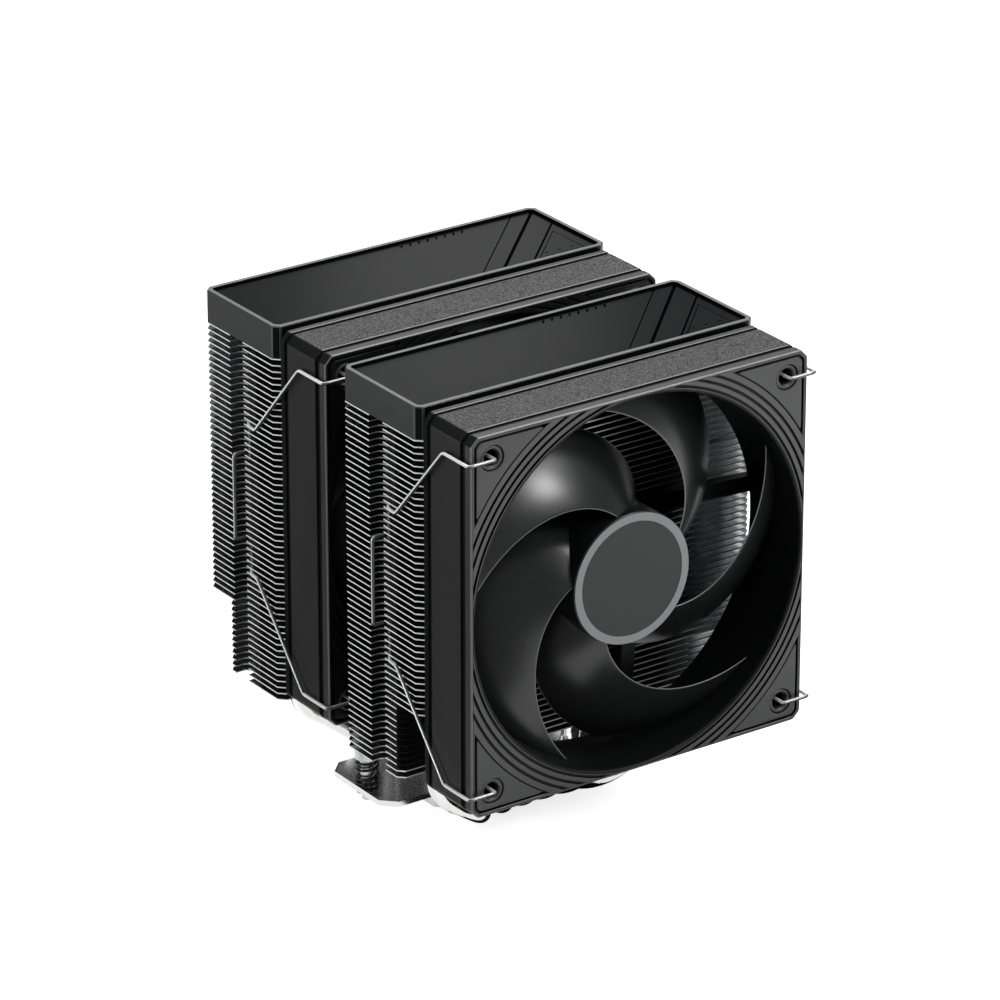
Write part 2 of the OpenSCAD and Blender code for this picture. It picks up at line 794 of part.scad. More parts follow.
module cover_panel(outer) {
    w = panel_w - 2 * panel_gap;
    l = panel_l - 2 * panel_gap;
    color("#47484a")
        translate([0, outer * tower_offset, fin_top + cover_h - panel_drop - panel_t])
            difference() {
                linear_extrude(panel_t)
                    cut_rect(w, l, panel_cut);
                translate([0, 0, panel_t - panel_groove]) {
                    for (line = panel_lines)
                        translate([line[0], -l / 2, 0])
                            rotate(45)
                                translate([-2 * line[1], -line[1] / 2, 0])
                                    cube([2 * l, line[1], panel_groove + 1]);
                    for (k = [0:mark_count - 1])
                        translate([mark_x + k * mark_pitch, l / 2 - mark_edge, 0])
                            rotate(mark_turn)
                                translate([-mark_l / 2, -mark_w / 2, 0])
                                    cube([mark_l, mark_w, panel_groove + 1]);
                    translate([w / 2 - corner_right, -l / 2 + corner_front, 0])
                        linear_extrude(panel_groove + 1)
                            corner_triangle();
                }
            }
}

// Fans: the z axis of these shapes runs from the fan's front face to its rear face

module in_fan(front_y) {
    translate([0, front_y, fan_z])
        rotate([-90, 0, 0])
            children();
}

module at_corner_holes() {
    for (x = [-1, 1], y = [-1, 1])
        translate([x * hole_span / 2, y * hole_span / 2, 0])
            children();
}

// Corner areas outside an arc about the fan axis
module corner_areas(half, arc_r) {
    difference() {
        square(2 * half, center = true);
        circle(arc_r);
    }
}

module fan_struts() {
    for (k = [0:strut_count - 1])
        rotate(360 * k / strut_count)
            translate([0, -strut_offset, base_front])
                rotate(strut_lean)
                    translate([0, -strut_w / 2, 0])
                        cube([fan_bore_r, strut_w, strut_t]);
}

module fan_frame(front_y) {
    half = fan_w / 2;
    color("#333437")
        in_fan(front_y)
            difference() {
                union() {
                    difference() {
                        linear_extrude(fan_d)
                            cut_rect(fan_w, fan_w, frame_cut);
                        translate([0, 0, -1])
                            cylinder(r = fan_bore_r, h = fan_d + 2);
                        rotate_extrude()
                            polygon([[fan_bore_r - 1, -1], [fan_bore_r + mouth, -1], [fan_bore_r + mouth, 0],
                                [fan_bore_r, 2 * mouth], [fan_bore_r - 1, 2 * mouth]]);
                    }
                    intersection() {
                        fan_struts();
                        cylinder(r = fan_bore_r + strut_lap, h = fan_d);
                    }
                    translate([0, 0, base_front])
                        cylinder(r = hub_r + base_rim, h = strut_t);
                    translate([0, 0, bearing_front - tube_lip])
                        cylinder(r = tube_r, h = base_front - bearing_front + tube_lip);
                }
                translate([0, 0, bearing_front - 1])
                    cylinder(d = bearing_d + 2 * motor_room, h = shaft_rear + tail_room - bearing_front + 1);
                for (depth = [flange_t, fan_d - flange_t - groove_w])
                    translate([0, 0, depth])
                        linear_extrude(groove_w)
                            difference() {
                                square(fan_w + 2, center = true);
                                cut_rect(fan_w - 2 * groove_depth, fan_w - 2 * groove_depth, frame_cut);
                            }
                for (k = [0:ring_count - 1])
                    let (r = fan_bore_r + ring_first + k * ring_pitch)
                        tube(r + ring_w / 2, r - ring_w / 2, -1, ring_depth);
                for (from = [-1, fan_d - pad_seat])
                    translate([0, 0, from])
                        linear_extrude(pad_seat + 1)
                            corner_areas(half - pad_rim + pad_gap, pad_arc_r - pad_gap);
                at_corner_holes()
                    translate([0, 0, -1])
                        cylinder(r = hole_r, h = fan_d + 2);
                translate([half - cable_in, cable_at, fan_d - cable_h])
                    cube([cable_in + 1, cable_w, cable_h + 1]);
            }
}

module fan_pads(front_y) {
    color("#46484b")
        in_fan(front_y)
            for (span = [[0, pad_seat], [fan_d - pad_seat, fan_d + pad_proud]])
                translate([0, 0, span[0]])
                    linear_extrude(span[1] - span[0])
                        difference() {
                            corner_areas(fan_w / 2 - pad_rim, pad_arc_r);
                            at_corner_holes()
                                circle(pad_hole_r);
                        }
}

// Impeller: a is the angle seen from the front, counted against the clock
function polar(r, a, depth) = [r * cos(a), -r * sin(a), depth];
function lead_angle(r) = blade_start + blade_sweep * (r - hub_r);
function blade_fall(s) = (trail_depth - lead_depth) * ((1 - blade_camber) * s + blade_camber * s * s);
function blade_slope(s) = (trail_depth - lead_depth) * (1 - blade_camber + 2 * blade_camber * s);
function blade_half(s) = (edge_t + (blade_t - edge_t) * sin(180 * s)) / 2;

// A point on the blade: s runs from the leading edge to the trailing edge, face is -1 or 1
function blade_point(r, s, face) =
    let (arc = r * blade_chord * PI / 180, slope = blade_slope(s), n = norm([arc, slope]),
         shift = face * blade_half(s), room = 1 - blade_t / (trail_depth - lead_depth))
    polar(r, lead_angle(r) - blade_chord * s + shift * slope / n / r * 180 / PI,
        lead_depth + blade_t / 2 + blade_fall(s) * room + shift * arc / n);

module blade() {
    loft([for (i = [0:blade_rows])
        let (r = hub_r - hub_wall / 2 + (tip_r - hub_r + hub_wall / 2) * i / blade_rows)
        concat([for (j = [0:blade_cols]) blade_point(r, j / blade_cols, -1)],
            [for (j = [blade_cols:-1:0]) blade_point(r, j / blade_cols, 1)])]);
}

module impeller(front_y) {
    color("#222326")
        in_fan(front_y)
            difference() {
                union() {
                    tube(hub_r, hub_r - hub_wall, hub_front, hub_rear);
                    translate([0, 0, hub_front])
                        cylinder(r = hub_r - hub_wall / 2, h = cup_front - hub_front);
                    translate([0, 0, cup_front])
                        cylinder(r = boss_r, h = boss_rear - cup_front);
                    for (k = [0:blade_count - 1])
                        rotate(360 * k / blade_count)
                            blade();
                }
                translate([0, 0, shaft_front])
                    cylinder(d = shaft_d + 2 * motor_room, h = boss_rear);
            }
}

module hub_ring(front_y) {
    color("#8f9092")
        in_fan(front_y)
            tube(hub_r - trim_step, trim_r, hub_front - trim_t, hub_front);
}

module hub_disc(front_y) {
    color("#424345")
        in_fan(front_y)
            translate([0, 0, hub_front - disc_t])
                cylinder(r = trim_r - motor_room, h = disc_t);
}

module rotor_cup(front_y) {
    color("#7d8083")
        in_fan(front_y) {
            tube(yoke_r, yoke_r - yoke_t, cup_front, hub_rear - cup_inset);
            tube(yoke_r - yoke_t / 2, boss_r + motor_room, cup_front, web_rear);
        }
}

module magnet_ring(front_y) {
    color("#3a3634")
        in_fan(front_y)
            tube(magnet_r, magnet_r - magnet_t, web_rear + magnet_gap, hub_rear - magnet_inset);
}

module shaft(front_y) {
    r = shaft_d / 2;
    neck_front = keeper_front - motor_room;
    neck_rear = keeper_front + keeper_t + motor_room;
    color("#d4d6d8")
        in_fan(front_y)
            rotate_extrude()
                polygon([[0, shaft_front], [r, shaft_front], [r, neck_front], [neck_r, neck_front],
                    [neck_r, neck_rear], [r, neck_rear], [r, shaft_rear], [0, shaft_rear]]);
}

module shaft_keeper(front_y) {
    color("#e4e2d8")
        in_fan(front_y)
            tube(keeper_d / 2, neck_r + motor_room, keeper_front, keeper_front + keeper_t);
}

module bearing(front_y) {
    color("#b08d4a")
        in_fan(front_y)
            tube(bearing_d / 2, shaft_d / 2 + shaft_room, bearing_front, bearing_rear);
}

module stator_core(front_y) {
    color("#6f7275")
        in_fan(front_y)
            translate([0, 0, core_front])
                linear_extrude(core_l)
                    difference() {
                        union() {
                            circle(core_in_r + core_rim_t);
                            for (k = [0:pole_count - 1])
                                rotate(360 * k / pole_count)
                                    translate([0, -arm_w / 2])
                                        square([core_r - shoe_t / 2, arm_w]);
                            difference() {
                                circle(core_r);
                                circle(core_r - shoe_t);
                                for (k = [0:pole_count - 1])
                                    rotate(360 * (k + 0.5) / pole_count)
                                        translate([0, -shoe_gap / 2])
                                            square([core_r + 1, shoe_gap]);
                            }
                        }
                        circle(core_in_r);
                    }
}

// One winding round each stator arm
module stator_coils(front_y) {
    from = core_in_r + core_rim_t + coil_in;
    to = core_r - shoe_t - coil_out;
    hole_w = arm_w + 2 * motor_room;
    hole_l = core_l + 2 * motor_room;
    color("#a8622c")
        in_fan(front_y)
            for (k = [0:pole_count - 1])
                rotate(360 * k / pole_count)
                    translate([from, 0, core_front + core_l / 2])
                        rotate([90, 0, 90])
                            linear_extrude(to - from)
                                difference() {
                                    square([hole_w + 2 * coil_t, hole_l + 2 * coil_t], center = true);
                                    square([hole_w, hole_l], center = true);
                                }
}

module circuit_board(front_y) {
    color("#23402f")
        in_fan(front_y)
            tube(board_d / 2, tube_r + motor_room, board_front, board_front + board_t);
}

// Wire clips

// Middle of the fin gap nearest to a height
function gap_z(z) = let (first = fin_bottom + (fin_pitch + fin_t) / 2)
    first + fin_pitch * round((z - first) / fin_pitch);

// One half of a left clip's path, from its tip in the corner hole to the finger loop; up is -1 or 1
function clip_half(front_y, up) =
    let (tip_z = fan_z + up * hole_span / 2,
         catch_z = gap_z(fan_z + up * hook_z),
         side_x = -fin_w / 2 - clip_side,
         end_x = -fin_w / 2 - hook_side,
         leg_x = -fin_w / 2 + leg_in,
         notch_at = front_y + fan_to_notch,
         handle_z = fan_z + up * loop_z)
    [[-hole_span / 2, front_y + clip_tip, tip_z],
     [-hole_span / 2, front_y - clip_front, tip_z],
     [side_x, front_y - clip_front, tip_z],
     [side_x, front_y + clip_turn, tip_z],
     [side_x, notch_at - hook_y, catch_z],
     [end_x, notch_at - hook_y + hook_l, catch_z],
     [leg_x, notch_at + leg_y, catch_z],
     [leg_x, notch_at + leg_y, handle_z],
     [-fin_w / 2 - loop_out, notch_at + leg_y, handle_z]];

function reversed(list) = [for (i = [len(list) - 1:-1:0]) list[i]];

module clip(front_y, side) {
    path = concat(clip_half(front_y, 1), reversed(clip_half(front_y, -1)));
    color("#c3c5c7")
        mirror([side > 0 ? 1 : 0, 0, 0])
            wire(rounded(path, wire_bend), wire_r, [1, 0, 0]);
}

cold_plate();
pipe_clamp();
mounting_bar();
clamp_screws();
spring_screw(-1);  // left_spring_screw
spring_screw(1);  // right_spring_screw
spring(-1);  // left_spring
spring(1);  // right_spring
retaining_ring(-1);  // left_retaining_ring
retaining_ring(1);  // right_retaining_ring
heat_pipe(1);  // heat_pipe_1
heat_pipe(2);  // heat_pipe_2
heat_pipe(3);  // heat_pipe_3
heat_pipe(4);  // heat_pipe_4
heat_pipe(5);  // heat_pipe_5
heat_pipe(6);  // heat_pipe_6
fin_stack(-1);  // front_fin_stack
fin_stack(1);  // rear_fin_stack
cover(-1);  // front_cover
cover(1);  // rear_cover
cover_panel(-1);  // front_cover_panel
cover_panel(1);  // rear_cover_panel
fan_frame(front_fan_y);  // front_fan_frame
fan_frame(middle_fan_y);  // middle_fan_frame
fan_pads(front_fan_y);  // front_fan_pads
fan_pads(middle_fan_y);  // middle_fan_pads
impeller(front_fan_y);  // front_impeller
impeller(middle_fan_y);  // middle_impeller
hub_ring(front_fan_y);  // front_hub_ring
hub_ring(middle_fan_y);  // middle_hub_ring
hub_disc(front_fan_y);  // front_hub_disc
hub_disc(middle_fan_y);  // middle_hub_disc
rotor_cup(front_fan_y);  // front_rotor_cup
rotor_cup(middle_fan_y);  // middle_rotor_cup
magnet_ring(front_fan_y);  // front_magnet_ring
magnet_ring(middle_fan_y);  // middle_magnet_ring
shaft(front_fan_y);  // front_shaft
shaft(middle_fan_y);  // middle_shaft
shaft_keeper(front_fan_y);  // front_shaft_keeper
shaft_keeper(middle_fan_y);  // middle_shaft_keeper
bearing(front_fan_y);  // front_bearing
bearing(middle_fan_y);  // middle_bearing
stator_core(front_fan_y);  // front_stator_core
stator_core(middle_fan_y);  // middle_stator_core
stator_coils(front_fan_y);  // front_stator_coils
stator_coils(middle_fan_y);  // middle_stator_coils
circuit_board(front_fan_y);  // front_circuit_board
circuit_board(middle_fan_y);  // middle_circuit_board
clip(front_fan_y, -1);  // front_left_clip
clip(front_fan_y, 1);  // front_right_clip
clip(middle_fan_y, -1);  // middle_left_clip
clip(middle_fan_y, 1);  // middle_right_clip
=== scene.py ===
import bmesh
import bpy
import numpy as np
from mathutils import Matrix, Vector


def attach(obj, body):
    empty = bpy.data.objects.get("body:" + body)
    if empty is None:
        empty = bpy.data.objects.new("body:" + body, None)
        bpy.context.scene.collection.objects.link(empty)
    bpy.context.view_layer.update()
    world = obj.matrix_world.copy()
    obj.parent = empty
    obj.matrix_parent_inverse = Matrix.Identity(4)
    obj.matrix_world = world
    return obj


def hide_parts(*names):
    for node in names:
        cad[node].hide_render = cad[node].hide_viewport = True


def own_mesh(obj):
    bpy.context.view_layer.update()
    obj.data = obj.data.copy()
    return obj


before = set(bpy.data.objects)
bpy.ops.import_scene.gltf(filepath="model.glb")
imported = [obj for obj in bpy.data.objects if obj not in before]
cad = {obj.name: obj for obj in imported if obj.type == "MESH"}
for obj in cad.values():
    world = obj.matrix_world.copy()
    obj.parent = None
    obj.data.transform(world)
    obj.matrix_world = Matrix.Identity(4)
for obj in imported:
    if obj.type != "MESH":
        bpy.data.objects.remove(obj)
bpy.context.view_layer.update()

# Cold plate and clamp block: the plate that meets the processor and the block that closes over the pipes.
# Both are milled; the plate is nickel-plated copper and the block is bare aluminium.
# They are soldered together round the six pipes.
mm = 0.001
# Radians that the wave texture turns in a unit.
wave_rate = 20
cutter_step = 5.0265


def linear(code):
    """Linear RGBA of an sRGB hex code: c / 12.92 in the dark toe, ((c + 0.055) / 1.055) ** 2.4 above it."""
    c = np.array([int(code[i:i + 2], 16) for i in (1, 3, 5)]) / 255
    return (*np.where(c <= 0.04045, c / 12.92, ((c + 0.055) / 1.055) ** 2.4), 1.0)


def add(tree, kind, inputs, **settings):
    """Adds one shader node. Each input is a value for that socket, an output to link to it,
    or a node whose first output is linked."""
    made = tree.nodes.new("ShaderNode" + kind)
    for name, value in settings.items():
        setattr(made, name, value)
    for socket, value in inputs.items():
        if isinstance(value, bpy.types.Node):
            value = value.outputs[0]
        if isinstance(value, bpy.types.NodeSocket):
            tree.links.new(value, made.inputs[socket])
        else:
            made.inputs[socket].default_value = value
    return made


def finish_named(name):
    """An empty node material, its tree and its Object coordinates in metres."""
    material = bpy.data.materials.new(name)
    material.use_nodes = True
    tree = material.node_tree
    tree.nodes.clear()
    return material, tree, add(tree, "TexCoord", {}).outputs["Object"]


def close_finish(tree, shader):
    """Leads a shader to the material's surface."""
    add(tree, "OutputMaterial", {"Surface": shader})


def dress(material, *names):
    """Gives CAD nodes this finish."""
    for name in names:
        for slot in cad[name].material_slots:
            slot.material = material


# Electroless nickel: a warm grey mirror that is slightly clouded, with faint marks from drawing the copper.
nickel, tree, place = finish_named("nickel plating on copper")
cloud = add(tree, "TexNoise", {"Vector": place, "Scale": 1 / (5 * mm), "Detail": 3.0, "Roughness": 0.6})
gloss = add(tree, "MapRange", {"Value": cloud, "To Min": 0.06, "To Max": 0.18})
tone = add(tree, "ValToRGB", {"Fac": cloud})
tone.color_ramp.elements[0].color = linear("#d8d7d5")
tone.color_ramp.elements[1].color = linear("#eeedeb")
pits = add(tree, "TexNoise", {"Vector": place, "Scale": 1 / (0.4 * mm), "Detail": 2.0})
relief = add(tree, "Bump", {"Height": pits, "Strength": 0.08, "Distance": 0.05 * mm})
close_finish(tree, add(tree, "BsdfPrincipled", {
    "Base Color": tone, "Metallic": 1.0, "Roughness": gloss, "Normal": relief}))
dress(nickel, "cold_plate")

# Milled aluminium: pale grey with straight cutter lines that spread the reflections across them.
# They are drawn further apart than real ones, so that they show.
milled, tree, place = finish_named("milled aluminium")
lines = add(tree, "TexWave", {"Vector": place, "Scale": 2 * np.pi / (wave_rate * cutter_step * mm),
                              "Distortion": 0.6, "Detail": 2.0}, bands_direction="Y").outputs["Fac"]
gloss = add(tree, "MapRange", {"Value": lines, "To Min": 0.28, "To Max": 0.42})
relief = add(tree, "Bump", {"Height": lines, "Strength": 0.15, "Distance": 0.05 * mm})
close_finish(tree, add(tree, "BsdfPrincipled", {
    "Base Color": linear("#c4c6c8"), "Metallic": 1.0, "Roughness": gloss, "Normal": relief}))
dress(milled, "pipe_clamp")

# Heat pipes: six sealed copper tubes, 6 mm across, bent up from the base into both towers.
# They are nickel plated with the cold plate after soldering.
pipe_count = 6
dress(nickel, *[f"heat_pipe_{i + 1}" for i in range(pipe_count)])

# Mounting bar: a stamped stainless steel strap across the base, polished along its length.
# Four small screws hold it on the clamp block, and its ends carry the spring screws.
# Polished steel: a clear mirror, drawn out a little along the polishing lines.
bar_steel, tree, place = finish_named("polished stainless steel")
along = add(tree, "Mapping", {"Vector": place, "Scale": (1 / (30 * mm), 1 / (0.25 * mm), 1 / (2 * mm))})
brush = add(tree, "TexNoise", {"Vector": along, "Scale": 1.0, "Detail": 3.0})
gloss = add(tree, "MapRange", {"Value": brush, "To Min": 0.1, "To Max": 0.18})
relief = add(tree, "Bump", {"Height": brush, "Strength": 0.06, "Distance": 0.03 * mm})
close_finish(tree, add(tree, "BsdfPrincipled", {
    "Base Color": linear("#e4e4e4"), "Metallic": 1.0, "Roughness": gloss, "Normal": relief}))
dress(bar_steel, "mounting_bar")

# Screws and retaining rings: turned steel screws with cross slots, kept in the bar by a clip ring.
# The screws are zinc plated; the rings are phosphated spring steel.


def mottled(name, grain, detail, tones, rough, surface):
    """A plain finish: one noise, its cells grain millimetres wide, drifts between two tones and two values
    of roughness. The shader's other sockets are given in surface."""
    material, tree, place = finish_named(name)
    drift = add(tree, "TexNoise", {"Vector": place, "Scale": 1 / (grain * mm), "Detail": detail})
    gloss = add(tree, "MapRange", {"Value": drift, "To Min": rough[0], "To Max": rough[1]})
    tone = add(tree, "ValToRGB", {"Fac": drift})
    tone.color_ramp.elements[0].color = linear(tones[0])
    tone.color_ramp.elements[1].color = linear(tones[1])
    close_finish(tree, add(tree, "BsdfPrincipled", {"Base Color": tone, "Roughness": gloss, **surface}))
    return material


# Zinc plate: a bright bluish grey, cloudy enough to blur what it mirrors.
zinc = mottled("zinc plated steel", 1.2, 3, ("#b4b6b8", "#d2d4d6"), (0.18, 0.34), {"Metallic": 1.0})
dress(zinc, "clamp_screws", "left_spring_screw", "right_spring_screw")

# Phosphate: a dull dark grey whose fine crystals scatter the light.
phosphate = mottled("phosphated spring steel", 0.6, 4, ("#45484b", "#66696c"), (0.35, 0.55),
                    {"Metallic": 1.0})
dress(phosphate, "left_retaining_ring", "right_retaining_ring")

# Springs: black coil springs round the screw shanks, wound from round wire with closed ends.
# Pressing a screw shortens them against the bar.
spring_r = 3.35
spring_wire_r = 0.45
spring_foot = 9.4
spring_rise = 7.7
spring_turns = 4.5
end_close = 0.8
coil_points = 160
coil_sides = 12
screw_x = 41.0
weld_gap = 0.002
sliver = 0.001
sharp_from = 35.0


def welded(name, grids, materials, crease=sharp_from):
    """One object from (rows, columns, 3) grids in millimetres, each with one material number or one for each
    quad between neighbours. Seams and poles are merged, faces turned outwards, and edges sharper than crease
    kept sharp."""
    points, quads, kinds, start = [], [], [], 0
    for grid, kind in grids:
        rows, columns = grid.shape[:2]
        n = start + np.arange(rows * columns).reshape(rows, columns)
        points.append(grid.reshape(-1, 3) * mm)
        quads.append(np.stack([n[:-1, :-1], n[1:, :-1], n[1:, 1:], n[:-1, 1:]], -1).reshape(-1, 4))
        kinds.append(np.broadcast_to(kind, (rows - 1, columns - 1)).ravel())
        start += rows * columns
    mesh = bpy.data.meshes.new(name)
    mesh.from_pydata(np.concatenate(points).tolist(), [], np.concatenate(quads).tolist())
    for material in materials:
        mesh.materials.append(material)
    mesh.polygons.foreach_set("material_index", np.concatenate(kinds).astype(np.int32))
    weld = bmesh.new()
    weld.from_mesh(mesh)
    bmesh.ops.remove_doubles(weld, verts=weld.verts, dist=weld_gap * mm)
    bmesh.ops.dissolve_degenerate(weld, edges=weld.edges, dist=sliver * mm)
    bmesh.ops.recalc_face_normals(weld, faces=weld.faces)
    weld.to_mesh(mesh)
    weld.free()
    mesh.shade_smooth()
    mesh.set_sharp_from_angle(angle=np.radians(crease))
    made = bpy.data.objects.new(name, mesh)
    bpy.context.scene.collection.objects.link(made)
    return made


def unit(v):
    """Vectors of length one."""
    return v / np.linalg.norm(v, axis=-1, keepdims=True)


def wire_grid(path, radius, sides):
    """A round wire along a path: circles across it, turned by one skew direction, with closed ends."""
    ahead = unit(np.gradient(path, axis=0))
    skew = np.array([0.31, 0.53, 0.79])
    side = unit(skew - (ahead @ skew)[:, None] * ahead)
    over = np.cross(ahead, side)
    a = np.linspace(0, 2 * np.pi, sides + 1)[None, :, None]
    rings = path[:, None] + radius * (np.cos(a) * side[:, None] + np.sin(a) * over[:, None])
    ends = [np.repeat(path[i][None, None], sides + 1, 1) for i in (0, -1)]
    return np.concatenate([ends[0], rings, ends[1]])


# Black oxide: a thin oily black that keeps a clear highlight along the wire.
black_oxide = mottled("black oxide spring steel", 0.8, 3, ("#070707", "#111111"), (0.2, 0.36),
                      {"Metallic": 0.3})

t = np.linspace(0, 1, coil_points)
turn = 2 * np.pi * spring_turns * t
climb = spring_rise * (t - end_close * np.sin(2 * np.pi * t) / (2 * np.pi))
for side, sign in (("left", -1), ("right", 1)):
    coil = np.stack([sign * screw_x + spring_r * np.cos(turn), spring_r * np.sin(turn),
                     spring_foot + spring_wire_r + climb], -1)
    spring = welded(f"{side}_spring_coil", [(wire_grid(coil, spring_wire_r, coil_sides), 0)], [black_oxide],
                    crease=60)
    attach(spring, "cooler")
    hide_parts(f"{side}_spring")
    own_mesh(spring)

# Fin towers: two stacks of 56 punched aluminium fins, each with collars that grip the pipes.
# They are bare rolled sheet with sheared edges, and light runs through the deep gaps from side to side.
tower_y = 37.4
notch_floor = 57.5
beside_frame = 45.0
# Middle and half height of the low fins.
low_fins = (48.5, 10.0)

# Rolled sheet: the flat faces mirror softly, the outer ends are sheared bright, and the edges of the notches
# and holes are duller; inside the notches that duller finish is painted shade. The low edges behind the front
# fan's frame are drawn black, a painted shade.
fin_sheet, tree, place = finish_named("rolled aluminium sheet with sheared edges")
smear = add(tree, "TexNoise", {"Vector": place, "Scale": 1 / (3 * mm), "Detail": 4.0})
gloss = add(tree, "MapRange", {"Value": smear, "To Min": 0.16, "To Max": 0.24})
sheet = add(tree, "BsdfPrincipled", {"Base Color": linear("#bebfc0"), "Metallic": 1.0, "Roughness": gloss})
edge_tone = add(tree, "ValToRGB", {"Fac": smear})
edge_tone.color_ramp.elements[0].color = linear("#c2c3c4")
edge_tone.color_ramp.elements[1].color = linear("#f0f1f2")
bare = add(tree, "BsdfPrincipled", {"Base Color": edge_tone, "Metallic": 0.35, "Roughness": 0.6})
rolled = add(tree, "BsdfPrincipled", {"Base Color": linear("#a0a1a2"), "Metallic": 0.55, "Roughness": 0.3})
painted_black_shade = add(tree, "BsdfPrincipled", {
    "Base Color": linear("#070707"), "Roughness": 0.6, "Specular IOR Level": 0.1})
facing = add(tree, "SeparateXYZ", {"Vector": add(tree, "TexCoord", {}).outputs["Normal"]})
level = add(tree, "Math", {0: facing.outputs["Z"]}, operation="ABSOLUTE")
flat = add(tree, "MapRange", {"Value": level, "From Min": 0.45, "From Max": 0.55})
sideways = add(tree, "Math", {0: facing.outputs["X"]}, operation="ABSOLUTE")
ends = add(tree, "MapRange", {"Value": sideways, "From Min": 0.3, "From Max": 0.6})
spot = add(tree, "SeparateXYZ", {"Vector": place})
across = add(tree, "Math", {0: spot.outputs["X"]}, operation="ABSOLUTE")
# Only the outer ends take the bright sheared finish; sideways faces inside the notches keep the duller one as
# painted shade.
outer = add(tree, "Math", {0: across, 1: notch_floor * mm}, operation="GREATER_THAN")
outer_ends = add(tree, "Math", {0: ends, 1: outer}, operation="MULTIPLY")
beside = add(tree, "Math", {0: across, 1: beside_frame * mm}, operation="GREATER_THAN")
forward = add(tree, "Math", {0: spot.outputs["Y"], 1: -tower_y * mm}, operation="LESS_THAN")
low = add(tree, "Math", {0: spot.outputs["Z"], 1: low_fins[0] * mm, 2: low_fins[1] * mm},
          operation="COMPARE")
# Low front edges beside and behind the front fan's frame: painted shade, drawn black.
painted_shade_behind_frame = add(tree, "Math", {0: facing.outputs["Y"], 1: -0.3}, operation="LESS_THAN")
for mask in (beside, forward, low):
    painted_shade_behind_frame = add(tree, "Math", {0: painted_shade_behind_frame, 1: mask}, operation="MULTIPLY")
rim = add(tree, "MixShader", {0: outer_ends, 1: rolled, 2: bare})
rim = add(tree, "MixShader", {0: painted_shade_behind_frame, 1: rim, 2: painted_black_shade})
close_finish(tree, add(tree, "MixShader", {0: flat, 1: rim, 2: sheet}))
dress(fin_sheet, "front_fin_stack", "rear_fin_stack")

# Top covers: moulded caps that press on the pipe tips, with a bevelled rim round a sunk panel.
# They are ABS, painted satin black.
cover_w = 120.8
cover_l = 39.6
cover_cut = 2.0
cover_foot = 146.575
cover_h = 10.4
cover_bevel = 0.3
cover_wall = 1.6
# Reach and steps of a rounded corner.
cover_round = (0.18, 4)
corner_steps = 5
corner_reach = 0.45
corner_share = 0.3
least_cut = 0.02
nothing = 1e-4
deck_top = 8.5
deck_under = 7.3
pipe_pitch = 16.5
socket_r = (3.1, 4.3)
socket_foot = 2.5
socket_top = 7.5
socket_sides = 32
# Numbers of the cover's finishes, and lengths that tell the rows of its profile apart.
SATIN, SHADE_BLACK, RIM_LIGHT = range(3)
slack = 0.02
band = 0.1
tall = 1.0


def soft_corners(points, reach, steps):
    """A closed outline whose corners become short curves: each starts and ends reach away from its corner."""
    before = points + reach * unit(np.roll(points, 1, 0) - points)
    after = points + reach * unit(np.roll(points, -1, 0) - points)
    t = np.linspace(0, 1, steps)[None, :, None]
    bend = (1 - t) ** 2 * before[:, None] + 2 * t * (1 - t) * points[:, None] + t ** 2 * after[:, None]
    bend = bend.reshape(-1, points.shape[1])
    return np.concatenate([bend, bend[:1]])


def cut_outline(inset):
    """The cover's rectangle with cut corners and softened edges, moved in by inset on every side."""
    hw = cover_w / 2 - inset
    hl = max(cover_l / 2 - inset, 0.0)
    c = max(cover_cut - inset * (2 - np.sqrt(2)), least_cut)
    c = min(c, max(hl, nothing))
    corners = np.array([[-hw + c, -hl], [hw - c, -hl], [hw, -hl + c], [hw, hl - c],
                        [hw - c, hl], [-hw + c, hl], [-hw, hl - c], [-hw, -hl + c]])
    return soft_corners(corners, min(corner_reach, corner_share * c), corner_steps)


def rounded_profile(points, reach, steps):
    """An open profile whose inner corners become short curves."""
    soft = soft_corners(np.asarray(points, float), reach, steps)[:-1].reshape(len(points), steps, -1)
    return np.concatenate([points[:1], soft[1:-1].reshape(-1, soft.shape[-1]), points[-1:]])


def turned_grid(profile, centre, sides, axis):
    """A profile of (radius, height) turned round an axis through centre: "Z" upright, "Y" for fan parts."""
    a = np.linspace(0, 2 * np.pi, sides + 1)[None, :]
    r, h = profile[:, :1], profile[:, 1:]
    across, along, height = r * np.cos(a), r * np.sin(a), np.broadcast_to(h, (len(profile), sides + 1))
    parts = (across, along, height) if axis == "Z" else (across, height, along)
    return np.stack(parts, -1) + centre


def even(made):
    """Weighs normals by face area, so that a small round beside a flat face does not shade it."""
    made.modifiers.new("normals", "WEIGHTED_NORMAL").keep_sharp = True


# Satin paint: a dark grey whose fine orange peel spreads the light widely.
satin, tree, place = finish_named("satin black painted ABS")
peel = add(tree, "TexNoise", {"Vector": place, "Scale": 1 / (0.35 * mm), "Detail": 2.0})
gloss = add(tree, "MapRange", {"Value": peel, "To Min": 0.44, "To Max": 0.54})
relief = add(tree, "Bump", {"Height": peel, "Strength": 0.08, "Distance": 0.04 * mm})
tone = add(tree, "ValToRGB", {"Fac": peel})
tone.color_ramp.elements[0].color = linear("#1c1d1e")
tone.color_ramp.elements[1].color = linear("#232426")
close_finish(tree, add(tree, "BsdfPrincipled", {
    "Base Color": tone, "Roughness": gloss, "Specular IOR Level": 0.9, "Normal": relief}))

# Painted shade: the cut corners, the inner walls and the front bevel on the front side are drawn in a near
# black gloss, for the shade that falls there.
painted_shade_black = mottled("black ABS, painted shade", 0.5, 2, ("#060708", "#0b0c0d"), (0.12, 0.2),
                      {"Specular IOR Level": 0.15})

# Painted rim highlight: the rim's top is drawn a lighter grey, which draws a pale line round each panel.
rim_painted_highlight = mottled("satin black painted ABS, rubbed rim", 0.35, 2, ("#545454", "#626262"), (0.42, 0.5),
                 {"Specular IOR Level": 0.9})

